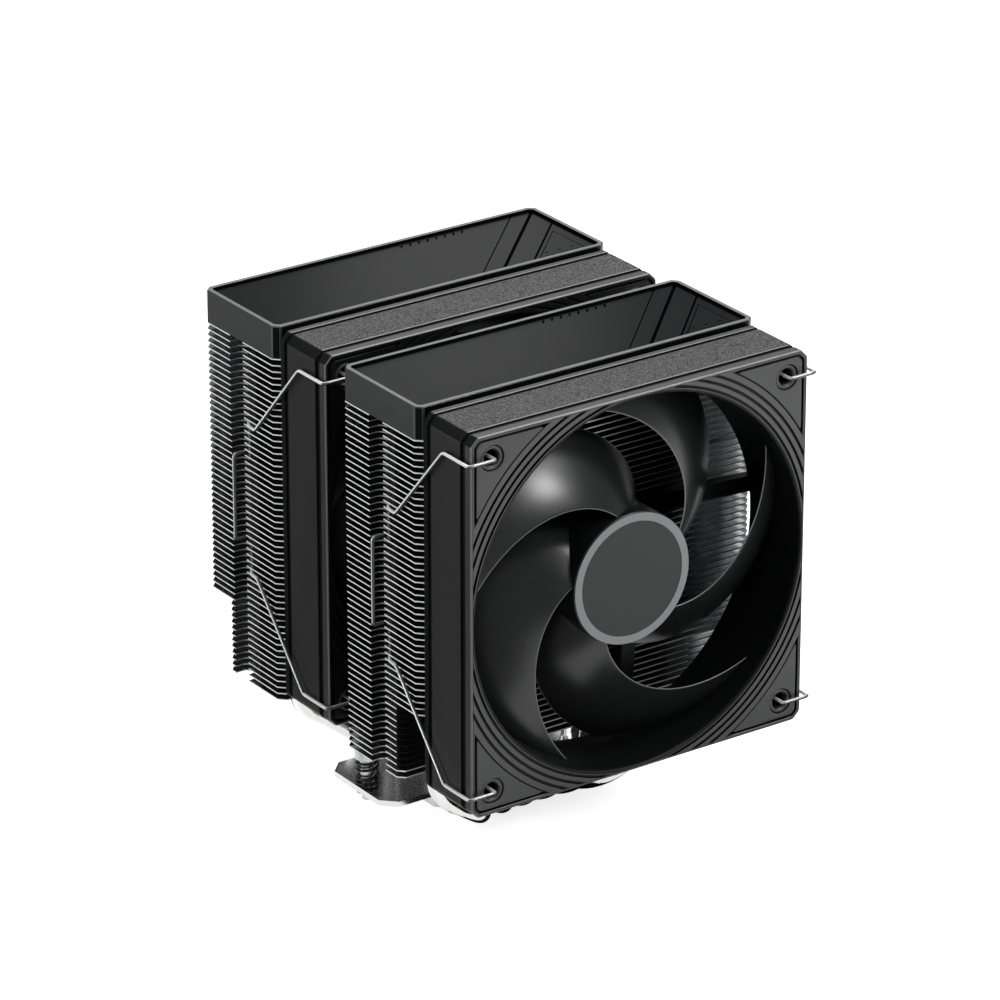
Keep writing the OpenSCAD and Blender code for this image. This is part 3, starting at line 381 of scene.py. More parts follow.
cover_profile = rounded_profile(np.array([
    [cover_l / 2, deck_under], [cover_wall, deck_under], [cover_wall, 0], [0, 0], [0, cover_h - cover_bevel],
    [cover_bevel, cover_h], [cover_wall, cover_h], [cover_wall, deck_top], [cover_l / 2, deck_top]]),
    *cover_round)
inset, rise = cover_profile.T
outlines = np.stack([cut_outline(at) for at in inset])
shell = np.concatenate([outlines, np.broadcast_to(rise[:, None, None], (*outlines.shape[:2], 1))], -1)

# Which strips take the painted shade or the painted rim highlight: rows are told apart along the profile,
# columns round the outline.
outer_wall = (inset[:-1] + inset[1:] < 2 * slack) & (np.diff(rise) > tall)
front_edge = (inset[:-1] < cover_bevel - slack) & (rise[1:] > 2 * band)
rim_top = (rise[:-1] > cover_h - band) & (rise[1:] > cover_h - band)
inner_wall = (inset[:-1] > cover_wall - slack) & (rise[1:] > deck_under + band)
inner_wall &= ~rim_top & (inset[:-1] + inset[1:] < 2 * (cover_wall + slack))
strip = np.arange(8 * corner_steps)
cut_corner = strip % (2 * corner_steps) == 2 * corner_steps - 1
front_side = strip == corner_steps - 1
# Inner walls, cut corners and the front bevel on the front side carry the painted shade.
polished = inner_wall[:, None] | outer_wall[:, None] & cut_corner | front_edge[:, None] & front_side
cover_kinds = np.where(rim_top[:, None], RIM_LIGHT, np.where(polished, SHADE_BLACK, SATIN))
socket = np.array([[socket_r[0], socket_foot], [socket_r[1], socket_foot], [socket_r[1], socket_top],
                   [socket_r[0], socket_top], [socket_r[0], socket_foot]])
for tower, sign in (("front", -1), ("rear", 1)):
    centre = np.array([0, sign * tower_y, cover_foot])
    tips = [centre + [(i - (pipe_count - 1) / 2) * pipe_pitch, 0, 0] for i in range(pipe_count)]
    sockets = [(turned_grid(socket, tip, socket_sides, "Z"), SATIN) for tip in tips]
    cover = welded(f"{tower}_cover_shell", [(shell + centre, cover_kinds)] + sockets,
                   [satin, painted_shade_black, rim_painted_highlight])
    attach(cover, "cooler")
    even(cover)
    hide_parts(f"{tower}_cover")

# Cover panels: thin plates laid in the covers, with plain diagonal grooves and a row of short marks.
# They are sheet aluminium, brushed along its length and anodised dark grey.
panel_top = 156.075
panel_half = (58.65, 18.05)
panel_margin = 0.9
groove_from = 0.1

# Dark anodising: a fine brushed grey that hardly shines. The grooves are drawn black, and the margin along
# the rim is drawn black as a painted shadow of the rim.
anodised, tree, place = finish_named("dark anodised brushed aluminium")
along = add(tree, "Mapping", {"Vector": place, "Scale": (1 / (40 * mm), 1 / (0.2 * mm), 1 / (1 * mm))})
brush = add(tree, "TexNoise", {"Vector": along, "Scale": 1.0, "Detail": 4.0})
gloss = add(tree, "MapRange", {"Value": brush, "To Min": 0.22, "To Max": 0.28})
tone = add(tree, "ValToRGB", {"Fac": brush})
tone.color_ramp.elements[0].color = linear("#121314")
tone.color_ramp.elements[1].color = linear("#18191a")
spot = add(tree, "SeparateXYZ", {"Vector": place})
# Groove floors below the top are drawn black.
sunk = add(tree, "Math", {0: spot.outputs["Z"], 1: (panel_top - groove_from) * mm}, operation="LESS_THAN")
# The margin along the rim: painted shadow of the rim.
far_x = add(tree, "Math", {0: spot.outputs["X"]}, operation="ABSOLUTE")
far_x = add(tree, "Math", {0: far_x, 1: (panel_half[0] - panel_margin) * mm}, operation="GREATER_THAN")
far_y = add(tree, "Math", {0: spot.outputs["Y"]}, operation="ABSOLUTE")
far_y = add(tree, "Math", {0: far_y, 1: tower_y * mm}, operation="SUBTRACT")
far_y = add(tree, "Math", {0: far_y}, operation="ABSOLUTE")
far_y = add(tree, "Math", {0: far_y, 1: (panel_half[1] - panel_margin) * mm}, operation="GREATER_THAN")
margin = add(tree, "Math", {0: far_x, 1: far_y}, operation="MAXIMUM")
grooves_and_painted_shadow = add(tree, "Math", {0: sunk, 1: margin}, operation="MAXIMUM")
plate = add(tree, "BsdfPrincipled", {"Base Color": tone, "Roughness": gloss, "Specular IOR Level": 0.06})
groove_and_shadow_black = add(tree, "BsdfPrincipled", {
    "Base Color": linear("#050506"), "Roughness": 0.7, "Specular IOR Level": 0.0})
close_finish(tree, add(tree, "MixShader", {0: grooves_and_painted_shadow, 1: plate, 2: groove_and_shadow_black}))
dress(anodised, "front_cover_panel", "rear_cover_panel")

# Fan frames: square moulded housings with a round bore, outer grooves, struts and a motor base.
# They are glass-filled PBT, smooth on the faces and spark-eroded to a fine grain on the outer strips.
fan_fronts = {"front": -83.2, "middle": -8.4}
fan_z = 96.2
fan_half = 60.0
fan_depth = 25.0
cut_reach = 83.085
cut_half_angle = 1.15
rim_power = 500
turn_step = 0.75
corner_step = 0.15
corner_span = 3
bore_r = 58.5
mouth = 0.7
rear_chamfer = 0.5
edge_round = 0.45
quarter = np.linspace(0, np.pi / 2, 5)
face_margin = 0.75
rim_line = ((face_margin, 0), (0.68, 0.12), (0.54, 0.12), (0.47, 0))
# Numbers of the frame's finishes.
SMOOTH, GRAINED, SHADE, EDGE_LIGHT = range(4)
ring_radii = (60.4, 62.6, 64.8)
ring_depth = 0.7
ring_fade = 0.3
ring_shape = ((-0.75, 0, SMOOTH), (-0.46, 0.03, SHADE), (-0.4, 0.12, SHADE), (-0.32, 1, SHADE),
              (0.32, 1, SHADE), (0.4, 0.12, SHADE), (0.46, 0.03, SMOOTH), (0.75, 0, SMOOTH))
seat_r = 67.05
seat_inset = 1.25
seat_depth = 1.2
seat_least = 0.1
seat_fade = 0.8
seat_keep = 0.05
lip_w = 0.15
lip_drop = 0.12
wall_draft = 0.04
side_band = 1.0
side_grooves = ((3.1, 5.2), (20.2, 21.9))
groove_depth = 0.7
groove_round = 0.22
strip_start = 0.05
step_at = 24.1
step_in = 1.05
step_soft = 0.05
# How far a face stays short of one that it would share.
shy = 0.02
mould_round = (0.3, 4)
hole_at = 52.5
hole_r = 2.4
hole_sides = 48
pin_over = 2
base_front = 21.6
base_r = 21.5
base_sides = 96
strut_w = 5.0
strut_l = 58.5
strut_offset = 14.0
strut_lean = 4.0
tube_r = (4.05, 5.55)
tube_front = 9.7
tube_rear = 23.8
notch_low = (57.0, 22.8, -21.4)
notch_high = (61.0, 25.8, -18.0)
square = np.array([[-1, 1, 1, -1, -1], [-1, -1, 1, 1, -1]])
capped = np.array([0, 1, 1, 0])[:, None]


def rim_radius(a, inset):
    """Distance from the fan's axis to its outline at angle a, moved in by inset: the nearest of four sides
    and four cut corners, blended by a high power mean so that the corners are slightly round."""
    c, s = np.abs(np.cos(a)), np.abs(np.sin(a))
    near = np.stack([c / (fan_half - inset), s / (fan_half - inset),
                     (c + s) / np.sqrt(2) / (cut_reach - inset)])
    return fan_half * np.sum((fan_half * near) ** rim_power, 0) ** (-1 / rim_power)


def turning_in(a, size, at, kind):
    """Rows of a quarter round that leaves the outline and ends size inside it, at depth at."""
    return [(rim_radius(a, size * (1 - np.cos(t))), at - size * (1 - np.sin(t)), kind) for t in quarter]


def turning_out(a, size, at, kind):
    """Rows of a quarter round that starts size inside the outline, at depth at, and ends on it."""
    return [(rim_radius(a, size * (1 - np.sin(t))), at + size * (1 - np.cos(t)), kind) for t in quarter]


def laid_round(rows, a):
    """Radius and depth of every row at every angle a, as two grids."""
    return [np.stack([np.broadcast_to(row[k], a.shape) for row in rows]) for k in (0, 1)]


def frame_grid():
    """The frame's closed profile carried round the axis: bore mouth, rings, pad seats, edge, grooved side and
    rear face. Rings and seats are held inside the outline and grow shallow where it cuts them off.
    Returns the grid about the fan's front centre and a finish number for each strip."""
    fine = [np.arange(q - corner_span, q + corner_span, corner_step) for q in (45, 135, 225, 315)]
    around = np.concatenate([np.arange(0, 360, turn_step)] + fine)
    a = np.radians(np.append(np.unique(around.round(3)), 360))
    limit = rim_radius(a, face_margin)
    room = seat_depth * np.clip((rim_radius(a, seat_inset) - seat_r - seat_least) / seat_fade, 0, 1)
    # The bore's mouth, the ring and seat hollows, the groove floors and the rear step are given the painted
    # shade.
    rows = [(bore_r + mouth * (1 - np.cos(t)), 2 * mouth * (1 - np.sin(t)), SHADE) for t in quarter]
    for ring in ring_radii:
        deep = ring_depth * np.clip((limit - ring) / ring_fade, 0, 1)
        rows += [(np.minimum(ring + off, limit), deep * part, kind) for off, part, kind in ring_shape]
    inner = [(seat_r - lip_w, 0, SMOOTH), (seat_r, lip_drop, SHADE), (seat_r + wall_draft, 1, SHADE)]
    outer = [(seat_inset + wall_draft, 1, SHADE), (seat_inset, lip_drop, SMOOTH),
             (seat_inset - lip_w, 0, SMOOTH)]
    least = np.minimum(seat_r + seat_keep, limit)
    seat = [(np.minimum(r, limit), room * part, kind) for r, part, kind in inner]
    seat += [(np.clip(rim_radius(a, off), least, limit), room * part, kind) for off, part, kind in outer]
    rows += seat
    rows += [(rim_radius(a, off), deep, SMOOTH) for off, deep in rim_line]
    rows += turning_out(a, edge_round, 0, EDGE_LIGHT)[:-1]
    rows += [(rim_radius(a, 0), edge_round, SMOOTH)]
    for (start, end), after in zip(side_grooves, (GRAINED, SMOOTH)):
        rows += turning_in(a, groove_round, start, EDGE_LIGHT)
        rows += [(rim_radius(a, groove_round), start, SHADE),
                 (rim_radius(a, groove_depth), start + wall_draft, SHADE),
                 (rim_radius(a, groove_depth), end - wall_draft, SHADE)]
        rows += turning_out(a, groove_round, end, EDGE_LIGHT)
        rows += [(rim_radius(a, 0), end + groove_round + strip_start, after)]
    rows += turning_in(a, edge_round, step_at, SMOOTH)
    rows += [(rim_radius(a, step_in - step_soft), step_at, SHADE),
             (rim_radius(a, step_in), step_at + step_soft, SHADE),
             (rim_radius(a, step_in), fan_depth, SHADE)]
    rear_limit = rim_radius(a, step_in + shy / 2)
    rows += [(np.minimum(r, rear_limit), fan_depth - deep, SMOOTH) for r, deep, kind in seat[::-1]]
    rows += [(bore_r + rear_chamfer, fan_depth, SHADE), (bore_r, fan_depth - rear_chamfer, SHADE), rows[0]]
    r, depth = laid_round(rows, a)
    kinds = np.array([row[2] for row in rows[:-1]])[:, None]
    # The cut corners, the strips behind the rear groove and the groove lips on the upright sides also take
    # the painted shade.
    on_cut = np.abs(np.degrees(a[:-1] + a[1:]) / 2 % 90 - 45) < cut_half_angle
    on_side = (depth[:-1, :1] > edge_round / 2) & (depth[1:, :1] < step_at)
    on_side &= r[:-1, :1] > fan_half - side_band
    kinds = np.where(on_side & on_cut, SHADE, kinds)
    upright = np.abs(np.cos(a[1:])) > np.abs(np.sin(a[1:]))
    behind = on_side & (depth[:-1, :1] > side_grooves[1][1] + groove_round)
    lips = on_side & (depth[:-1, :1] > edge_round) & (kinds == EDGE_LIGHT)
    kinds = np.where((behind | lips) & upright, SHADE, kinds)
    return np.stack([r * np.cos(a), depth, r * np.sin(a)], -1), kinds


def strut_grid(turn):
    """A strut: a rectangle carried along a straight line beside the axis, closed at both ends."""
    lean, turn = np.radians(strut_lean), np.radians(turn)
    run = np.array([0, 0, strut_l, strut_l])[:, None]
    wide = capped * strut_w / 2 * square[0]
    deep = capped * ((fan_depth - base_front) / 2 - shy) * square[1]
    x = run * np.cos(lean) - wide * np.sin(lean)
    down = -strut_offset + run * np.sin(lean) + wide * np.cos(lean)
    return np.stack([x * np.cos(turn) - down * np.sin(turn), (base_front + fan_depth) / 2 + deep,
                     -x * np.sin(turn) - down * np.cos(turn)], -1)


def box_grid(low, high):
    """A box between two corners: a rectangle carried along Y, closed at both ends."""
    x = (low[0] + high[0]) / 2 + capped * (high[0] - low[0]) / 2 * square[0]
    z = (low[2] + high[2]) / 2 + capped * (high[2] - low[2]) / 2 * square[1]
    y = np.broadcast_to(np.array([low[1], low[1], high[1], high[1]])[:, None], x.shape)
    return np.stack([x, y, z], -1)


def carved(body, cutter, extra):
    """Takes the cutter out of the body, adds the extra object's faces and keeps flat faces evenly lit."""
    cut = body.modifiers.new("holes", "BOOLEAN")
    cut.object = cutter
    cut.solver = "EXACT"
    result = bpy.data.meshes.new_from_object(body.evaluated_get(bpy.context.evaluated_depsgraph_get()))
    body.modifiers.clear()
    both = bmesh.new()
    both.from_mesh(result)
    both.from_mesh(extra.data)
    both.to_mesh(body.data)
    both.free()
    for spare in (cutter, extra):
        bpy.data.meshes.remove(spare.data)
    bpy.data.meshes.remove(result)
    body.data.shade_smooth()
    body.data.set_sharp_from_angle(angle=np.radians(sharp_from))
    even(body)


# Smooth mould: an even dark grey sheen that softens everything it mirrors.
smooth_pbt, tree, place = finish_named("glass-filled PBT, smooth mould")
fleck = add(tree, "TexNoise", {"Vector": place, "Scale": 1 / (0.3 * mm), "Detail": 2.0})
gloss = add(tree, "MapRange", {"Value": fleck, "To Min": 0.42, "To Max": 0.55})
relief = add(tree, "Bump", {"Height": fleck, "Strength": 0.5, "Distance": 0.06 * mm})
tone = add(tree, "ValToRGB", {"Fac": fleck})
tone.color_ramp.elements[0].position = 0.35
tone.color_ramp.elements[0].color = linear("#161616")
tone.color_ramp.elements[1].position = 0.65
tone.color_ramp.elements[1].color = linear("#262626")
close_finish(tree, add(tree, "BsdfPrincipled", {
    "Base Color": tone, "Roughness": gloss, "Specular IOR Level": 0.75, "Normal": relief}))

# Spark-eroded grain: pits that break the light into a sparkle of lighter and darker specks.
# They are drawn 0.4 mm wide, coarser than real ones, so that they show.
mean_spark = 0.2
grained_pbt, tree, place = finish_named("glass-filled PBT, spark-eroded grain")
pits = add(tree, "TexNoise", {"Vector": place, "Scale": 1 / (0.4 * mm), "Detail": 2.0, "Roughness": 0.6})
facing = add(tree, "SeparateXYZ", {"Vector": add(tree, "TexCoord", {}).outputs["Normal"]})
level = add(tree, "Math", {0: facing.outputs["Z"]}, operation="ABSOLUTE")
sharp = add(tree, "MapRange", {"Value": pits, "From Min": 0.36, "From Max": 0.66})
# On faces turned up the specks are spread wider, lighter and deeper, a painted sheen of the light from above;
# on upright faces they stay near one dark tone.
upward_painted_sheen = add(tree, "MapRange", {"Value": level, "To Min": 0.05, "To Max": 1.0})
swing = add(tree, "Math", {0: sharp, 1: mean_spark}, operation="SUBTRACT")
spark = add(tree, "Math", {0: swing, 1: upward_painted_sheen, 2: mean_spark}, operation="MULTIPLY_ADD")
gloss = add(tree, "MapRange", {"Value": spark, "To Min": 0.52, "To Max": 0.42})
shine = add(tree, "MapRange", {"Value": spark, "To Min": 0.1, "To Max": 1.0})
relief = add(tree, "Bump", {"Height": pits, "Strength": upward_painted_sheen, "Distance": 0.3 * mm})
tone = add(tree, "ValToRGB", {"Fac": spark})
tone.color_ramp.elements[0].color = linear("#080808")
tone.color_ramp.elements[1].color = linear("#484848")
close_finish(tree, add(tree, "BsdfPrincipled", {
    "Base Color": tone, "Roughness": gloss, "Specular IOR Level": shine, "Normal": relief}))

# Painted edge highlight: the mould's rounded edges and the blades' edges are drawn lighter, a thin pale line.
edge_highlight_pbt = mottled("glass-filled PBT, painted edge highlight", 0.3, 2, ("#464646", "#525252"), (0.36, 0.42),
                   {"Specular IOR Level": 1.0})

# Painted shade: the same plastic drawn nearly black for the bore, the hollows of the rings, seats and
# grooves, the rear step, the cut corners, the rear side strips and the middle fan's front face and pads.
painted_shade_pbt = mottled("glass-filled PBT, painted shade", 0.3, 2, ("#08090a", "#0d0e0f"), (0.4, 0.5),
                   {"Specular IOR Level": 0.15})

base_profile = rounded_profile(np.array([
    [0, fan_depth - shy], [base_r, fan_depth - shy], [base_r, base_front], [tube_r[1], base_front],
    [tube_r[1], tube_front], [tube_r[0], tube_front], [tube_r[0], tube_rear], [0, tube_rear]]), *mould_round)
lip_profile = np.array([
    [3.95, 1.3], [3.9, 0.75], [3.7, 0.45], [3.35, 0.3], [3.0, 0.36], [2.7, 0.6], [2.5, 1.0],
    [hole_r - shy, 1.6], [hole_r - shy, 2.0], [3.0, 2.0], [3.95, 1.3]])
bore_pin = np.array([[0, -pin_over], [hole_r, -pin_over],
                     [hole_r, fan_depth + pin_over], [0, fan_depth + pin_over]])
frame_finishes = [smooth_pbt, grained_pbt, painted_shade_pbt, edge_highlight_pbt]
frame_shape, frame_kinds = frame_grid()

# The middle fan's front face lies in the shade of the front tower and is given the painted shade.
front_face = frame_shape[:-1, :1, 1] < seat_depth + seat_least
front_face &= frame_shape[:-1, :1, 0] < fan_half - edge_round - shy / 2
kinds_of = {"front": frame_kinds, "middle": np.where(front_face, SHADE, frame_kinds)}
for fan, front_y in fan_fronts.items():
    axis_point = np.array([0, front_y, fan_z])
    corners = [axis_point + [x * hole_at, 0, z * hole_at] for x in (-1, 1) for z in (-1, 1)]
    body = welded(f"{fan}_fan_frame_moulding", [(frame_shape + axis_point, kinds_of[fan])], frame_finishes)
    cutters = [(turned_grid(bore_pin, corner, hole_sides, "Y"), SHADE) for corner in corners]
    cutters += [(box_grid(notch_low, notch_high) + axis_point, SHADE)]
    pins = welded("pins", cutters, frame_finishes)
    # The struts and the motor base take the painted shade too.
    inside = [(strut_grid(90 * k) + axis_point, SHADE) for k in range(4)]
    inside += [(turned_grid(base_profile, axis_point, base_sides, "Y"), SHADE)]
    inside += [(turned_grid(lip_profile, corner, hole_sides, "Y"), SMOOTH) for corner in corners]
    carved(body, pins, welded("inside", inside, frame_finishes))
    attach(body, "cooler")
    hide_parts(f"{fan}_fan_frame")

# Corner pads: soft plates let into the frame's corners, front and rear, round the screw holes.
# They are moulded silicone rubber, and an open groove shows all round each one.
pad_inset = 2.0
pad_arc_r = 67.4
pad_hole_r = 4.0
pad_round = 0.25
pad_proud = 1.0
pad_steps = 241
pad_round_steps = 4
pad_power = 36
pad_scale = 10
far = 1e3
tiny = 1e-3


def pad_grid():
    """A front pad about its screw hole, for the corner at +X and +Z: the outline's distance in each direction
    is the nearest of two straight sides, the cut corner and the arc round the fan's axis, blended where
    they meet."""
    a = np.radians(np.linspace(0, 360, pad_steps))
    c, s = np.cos(a), np.sin(a)
    side = fan_half - pad_inset - hole_at
    cut = cut_reach - pad_inset - hole_at * np.sqrt(2)
    lead = hole_at * (c + s)
    inside = lead ** 2 - 2 * hole_at ** 2 + pad_arc_r ** 2
    arc = np.where((inside > 0) & (lead < 0), -lead - np.sqrt(np.maximum(inside, 0)), far)
    near = np.stack([np.maximum(c, tiny) / side, np.maximum(s, tiny) / side,
                     np.maximum(c + s, tiny) / np.sqrt(2) / cut, 1 / arc])
    reach = pad_scale * np.sum((pad_scale * near) ** pad_power, 0) ** (-1 / pad_power)
    turn = np.linspace(0, np.pi / 2, pad_round_steps)
    rows = [(pad_hole_r, seat_depth)]
    rows += [(pad_hole_r + pad_round * (1 - np.cos(t)), pad_round * (1 - np.sin(t))) for t in turn]
    rows += [(reach - pad_round * (1 - np.sin(t)), pad_round * (1 - np.cos(t))) for t in turn]
    rows += [(reach, seat_depth), rows[0]]
    r, depth = laid_round(rows, a)
    return np.stack([r * c, depth, r * s], -1)


# Silicone rubber: a dull dark grey with a fine bloom.
rubber = mottled("black silicone rubber", 0.5, 2, ("#1f2021", "#262729"), (0.5, 0.62),
                 {"Specular IOR Level": 0.75})

pad_shape = pad_grid()
rear_stretch = np.array([1, -(seat_depth + pad_proud) / seat_depth, 1])
for fan, front_y in fan_fronts.items():
    grids = []
    for x in (-1, 1):
        for z in (-1, 1):
            corner = np.array([x * hole_at, front_y, fan_z + z * hole_at])
            # The middle fan's front pads take the painted shade of the gap between the towers.
            grids += [(pad_shape * [x, 1, z] + corner, int(fan == "middle")),
                      (pad_shape * [x, 1, z] * rear_stretch + corner + [0, fan_depth + pad_proud, 0], 0)]
    pads = welded(f"{fan}_fan_pad_set", grids, [rubber, painted_shade_pbt])
    even(pads)
    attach(pads, "cooler")
    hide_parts(f"{fan}_fan_pads")

# Motor parts inside the hub: bearing, stator and board on the frame, cup, magnet and shaft on the rotor.
# They are sintered bronze, laminated steel, enamelled copper, ferrite and ground steel, pressed together.
# Little of them shows through the frame: a glint of bronze, copper or steel.
motor_grain = 0.7
rough_drift = 0.15
motor_finishes = (
    ("sintered bronze", ("#8d6f38", "#b08d4a"), 1.0, 0.4, "bearing"),
    ("electrical steel laminations", ("#5f6265", "#7a7d80"), 1.0, 0.4, "stator_core"),
    ("enamelled copper winding", ("#8a4a1e", "#b46c34"), 0.8, 0.3, "stator_coils"),
    ("green circuit board", ("#17301f", "#23402f"), 0.0, 0.35, "circuit_board"),
    ("deep drawn rotor steel", ("#75787b", "#8c8f92"), 1.0, 0.35, "rotor_cup"),
    ("ferrite magnet", ("#2c2928", "#3f3b39"), 0.0, 0.6, "magnet_ring"),
    ("ground shaft steel", ("#c0c2c4", "#dcdee0"), 1.0, 0.12, "shaft"),
    ("natural nylon", ("#d8d6cc", "#eceae2"), 0.0, 0.45, "shaft_keeper"))
for name, tones, metal, rough, part in motor_finishes:
    limits = ((1 - rough_drift) * rough, (1 + rough_drift) * rough)
    finish = mottled(name, motor_grain, 3, tones, limits, {"Metallic": metal})
    dress(finish, *[f"{fan}_{part}" for fan in fan_fronts])

# Impellers: a hub with five forward-swept blades, moulded in one piece on the rotor cup.
# They are PBT from a satin mould.
hub_r = 20.7
hub_front = 4.6
hub_rear = 20.0
hub_in_r = 19.0
hub_face_t = 1.8
hub_sides = 128
boss_r = 3.4
boss_rear = 9.0
shaft_bore_r = 1.55
shaft_front = 5.4
blade_count = 5
blade_root_r = 19.9
blade_tip_r = 57.5
blade_start = 31.0
blade_sweep = 1.97
blade_chord = 50.0
blade_lead = 4.6
blade_trail = 20.8
blade_camber = 0.3
blade_t = 1.6
blade_edge_t = 0.5
blade_rows = 40
blade_columns = 49
edge_power = 60
edge_strips = 3
tip_round = 0.35
tip_rows = 6


def blade_grid(turn):
    """A blade: rows run from the hub to the tip, s from the leading edge to the trailing edge and back on the
    rear. The leading edge sweeps forward in step with the radius, the depth falls along the chord with some
    camber, and half the thickness is laid off square to the chord, vanishing in a round at both edges and at
    the tip."""
    fall = blade_trail - blade_lead
    rows = np.concatenate([np.linspace(blade_root_r, blade_tip_r - tip_round, blade_rows),
                           blade_tip_r - tip_round * (1 - np.sin(np.linspace(0, np.pi / 2, tip_rows)[1:]))])
    past = np.clip((rows - blade_tip_r + tip_round) / tip_round, 0, 1)
    thin = np.sqrt(1 - past ** 2)
    rows = np.concatenate([rows[:1], rows])[:, None]
    thin = np.concatenate([[0], thin])[:, None]
    forth = (1 - np.cos(np.linspace(0, np.pi, blade_columns))) / 2
    s = np.concatenate([forth, forth[::-1][1:]])[None, :]
    face = np.concatenate([-np.ones(blade_columns), np.ones(blade_columns - 1)])[None, :]
    half = (blade_edge_t + (blade_t - blade_edge_t) * np.sin(np.pi * s)) / 2
    half = half * np.sqrt(np.clip(1 - np.abs(2 * s - 1) ** edge_power, 0, 1)) * thin
    arc = rows * np.radians(blade_chord)
    slope = fall * (1 - blade_camber + 2 * blade_camber * s)
    n = np.hypot(arc, slope)
    shift = face * half
    a = np.radians(blade_start + turn + blade_sweep * (rows - hub_r) - blade_chord * s)
    a = a + shift * slope / n / rows
    room = 1 - blade_t / fall
    dip = fall * ((1 - blade_camber) * s + blade_camber * s ** 2) * room
    depth = blade_lead + blade_t / 2 + dip + shift * arc / n
    return np.stack([rows * np.cos(a), depth, rows * np.sin(a)], -1)


# Satin mould: near black, smooth enough that the curved blades carry broad soft highlights.
satin_pbt = mottled("PBT, satin mould", 0.25, 2, ("#121314", "#18191a"), (0.26, 0.3), {})

hub_profile = rounded_profile(np.array([
    [0, hub_front], [hub_r, hub_front], [hub_r, hub_rear], [hub_in_r, hub_rear],
    [hub_in_r, hub_front + hub_face_t], [boss_r, hub_front + hub_face_t], [boss_r, boss_rear],
    [shaft_bore_r, boss_rear], [shaft_bore_r, shaft_front], [0, shaft_front]]), *mould_round)
chord = blade_columns - 1
strip = np.arange(2 * chord) % chord
# The blades' leading and trailing edges take the painted edge highlight.
blade_edges = ((strip < edge_strips) | (strip >= chord - edge_strips)).astype(int)
for fan, front_y in fan_fronts.items():
    axis_point = np.array([0, front_y, fan_z])
    blades = [(blade_grid(360 / blade_count * k) + axis_point, blade_edges) for k in range(blade_count)]
    hub = [(turned_grid(hub_profile, axis_point, hub_sides, "Y"), 0)]
    impeller = welded(f"{fan}_impeller_moulding", hub + blades, [satin_pbt, edge_highlight_pbt], crease=50)
    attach(impeller, f"{fan}_rotor")
    even(impeller)
    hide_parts(f"{fan}_impeller")

# Hub trim: a satin metal ring pressed on the hub, and a plain dark disc glued inside it.
# The ring is spun aluminium and the disc is polycarbonate film.
# Spun aluminium: a soft even grey. Film: a flat dark grey that hardly shines.
spun = mottled("spun aluminium trim", 0.5, 3, ("#6a6b6d", "#757678"), (0.4, 0.5), {"Metallic": 0.6})
dress(spun, "front_hub_ring", "middle_hub_ring")
film = mottled("dark grey polycarbonate film", 0.4, 2, ("#1a1b1c", "#1f2021"), (0.45, 0.55),
               {"Specular IOR Level": 0.35})
dress(film, "front_hub_disc", "middle_hub_disc")

# Wire clips: bent spring wire that hooks in the fan's corner holes and snaps into the fin notches.
# They are drawn stainless steel wire, 1.1 mm thick.
wire_r = 0.55
wire_sides = 16
wire_bend = (1.1, 8)
clip_tip = 3.4
clip_front = 1.6
clip_side = 61.8
clip_turn = 11.3
notch_depth = 44.0
hook_from = 8.2
hook_l = 4.2
hook_x = 61.4
leg_x = 57.2
leg_behind = 1.6
catch_z = (121.0625, 72.4625)
loop_x = 63.2
loop_half = 14.0
frame_edge = (60.0, 60.3)
notch_mouth = (58.6, 60.4)
notch_half = 4.0

# Drawn wire: a painted highlight along the top. Beneath and in front it is drawn dark as a painted reflection
# of the black fan, and inside the notches as a painted reflection of the gaps between the fins.
wire_painted_light, tree, place = finish_named("drawn stainless steel wire")
cloud = add(tree, "TexNoise", {"Vector": place, "Scale": 1 / (1.5 * mm), "Detail": 3.0})
gloss = add(tree, "MapRange", {"Value": cloud, "To Min": 0.2, "To Max": 0.28})
facing = add(tree, "SeparateXYZ", {"Vector": add(tree, "TexCoord", {}).outputs["Normal"]})
upper = add(tree, "MapRange", {"Value": facing.outputs["Z"], "From Min": -0.42, "From Max": -0.08})
spot = add(tree, "SeparateXYZ", {"Vector": place})
reach_x = add(tree, "Math", {0: spot.outputs["X"]}, operation="ABSOLUTE")
reach_y = add(tree, "Math", {0: spot.outputs["Y"]}, operation="ABSOLUTE")
darkest = add(tree, "MapRange", {
    "Value": reach_x, "From Min": frame_edge[0] * mm, "From Max": frame_edge[1] * mm,
    "To Min": -0.95, "To Max": -0.5})
front = add(tree, "MapRange", {
    "Value": facing.outputs["Y"], "From Min": darkest, "From Max": -0.1, "To Min": 0.1})
light = add(tree, "Math", {0: upper, 1: front}, operation="MULTIPLY")
inside = add(tree, "MapRange", {
    "Value": reach_x, "From Min": notch_mouth[0] * mm, "From Max": notch_mouth[1] * mm, "To Min": 0.4})
notch = add(tree, "Math", {0: reach_y, 1: tower_y * mm, 2: notch_half * mm}, operation="COMPARE")
outside = add(tree, "Math", {0: 1.0, 1: notch}, operation="SUBTRACT")
seen = add(tree, "Math", {0: inside, 1: outside}, operation="MAXIMUM")
light = add(tree, "Math", {0: light, 1: seen}, operation="MULTIPLY")
tone = add(tree, "ValToRGB", {"Fac": light})
tone.color_ramp.elements[0].color = linear("#161718")
tone.color_ramp.elements[1].color = linear("#f2f3f3")
close_finish(tree, add(tree, "BsdfPrincipled", {"Base Color": tone, "Metallic": 0.35, "Roughness": gloss}))

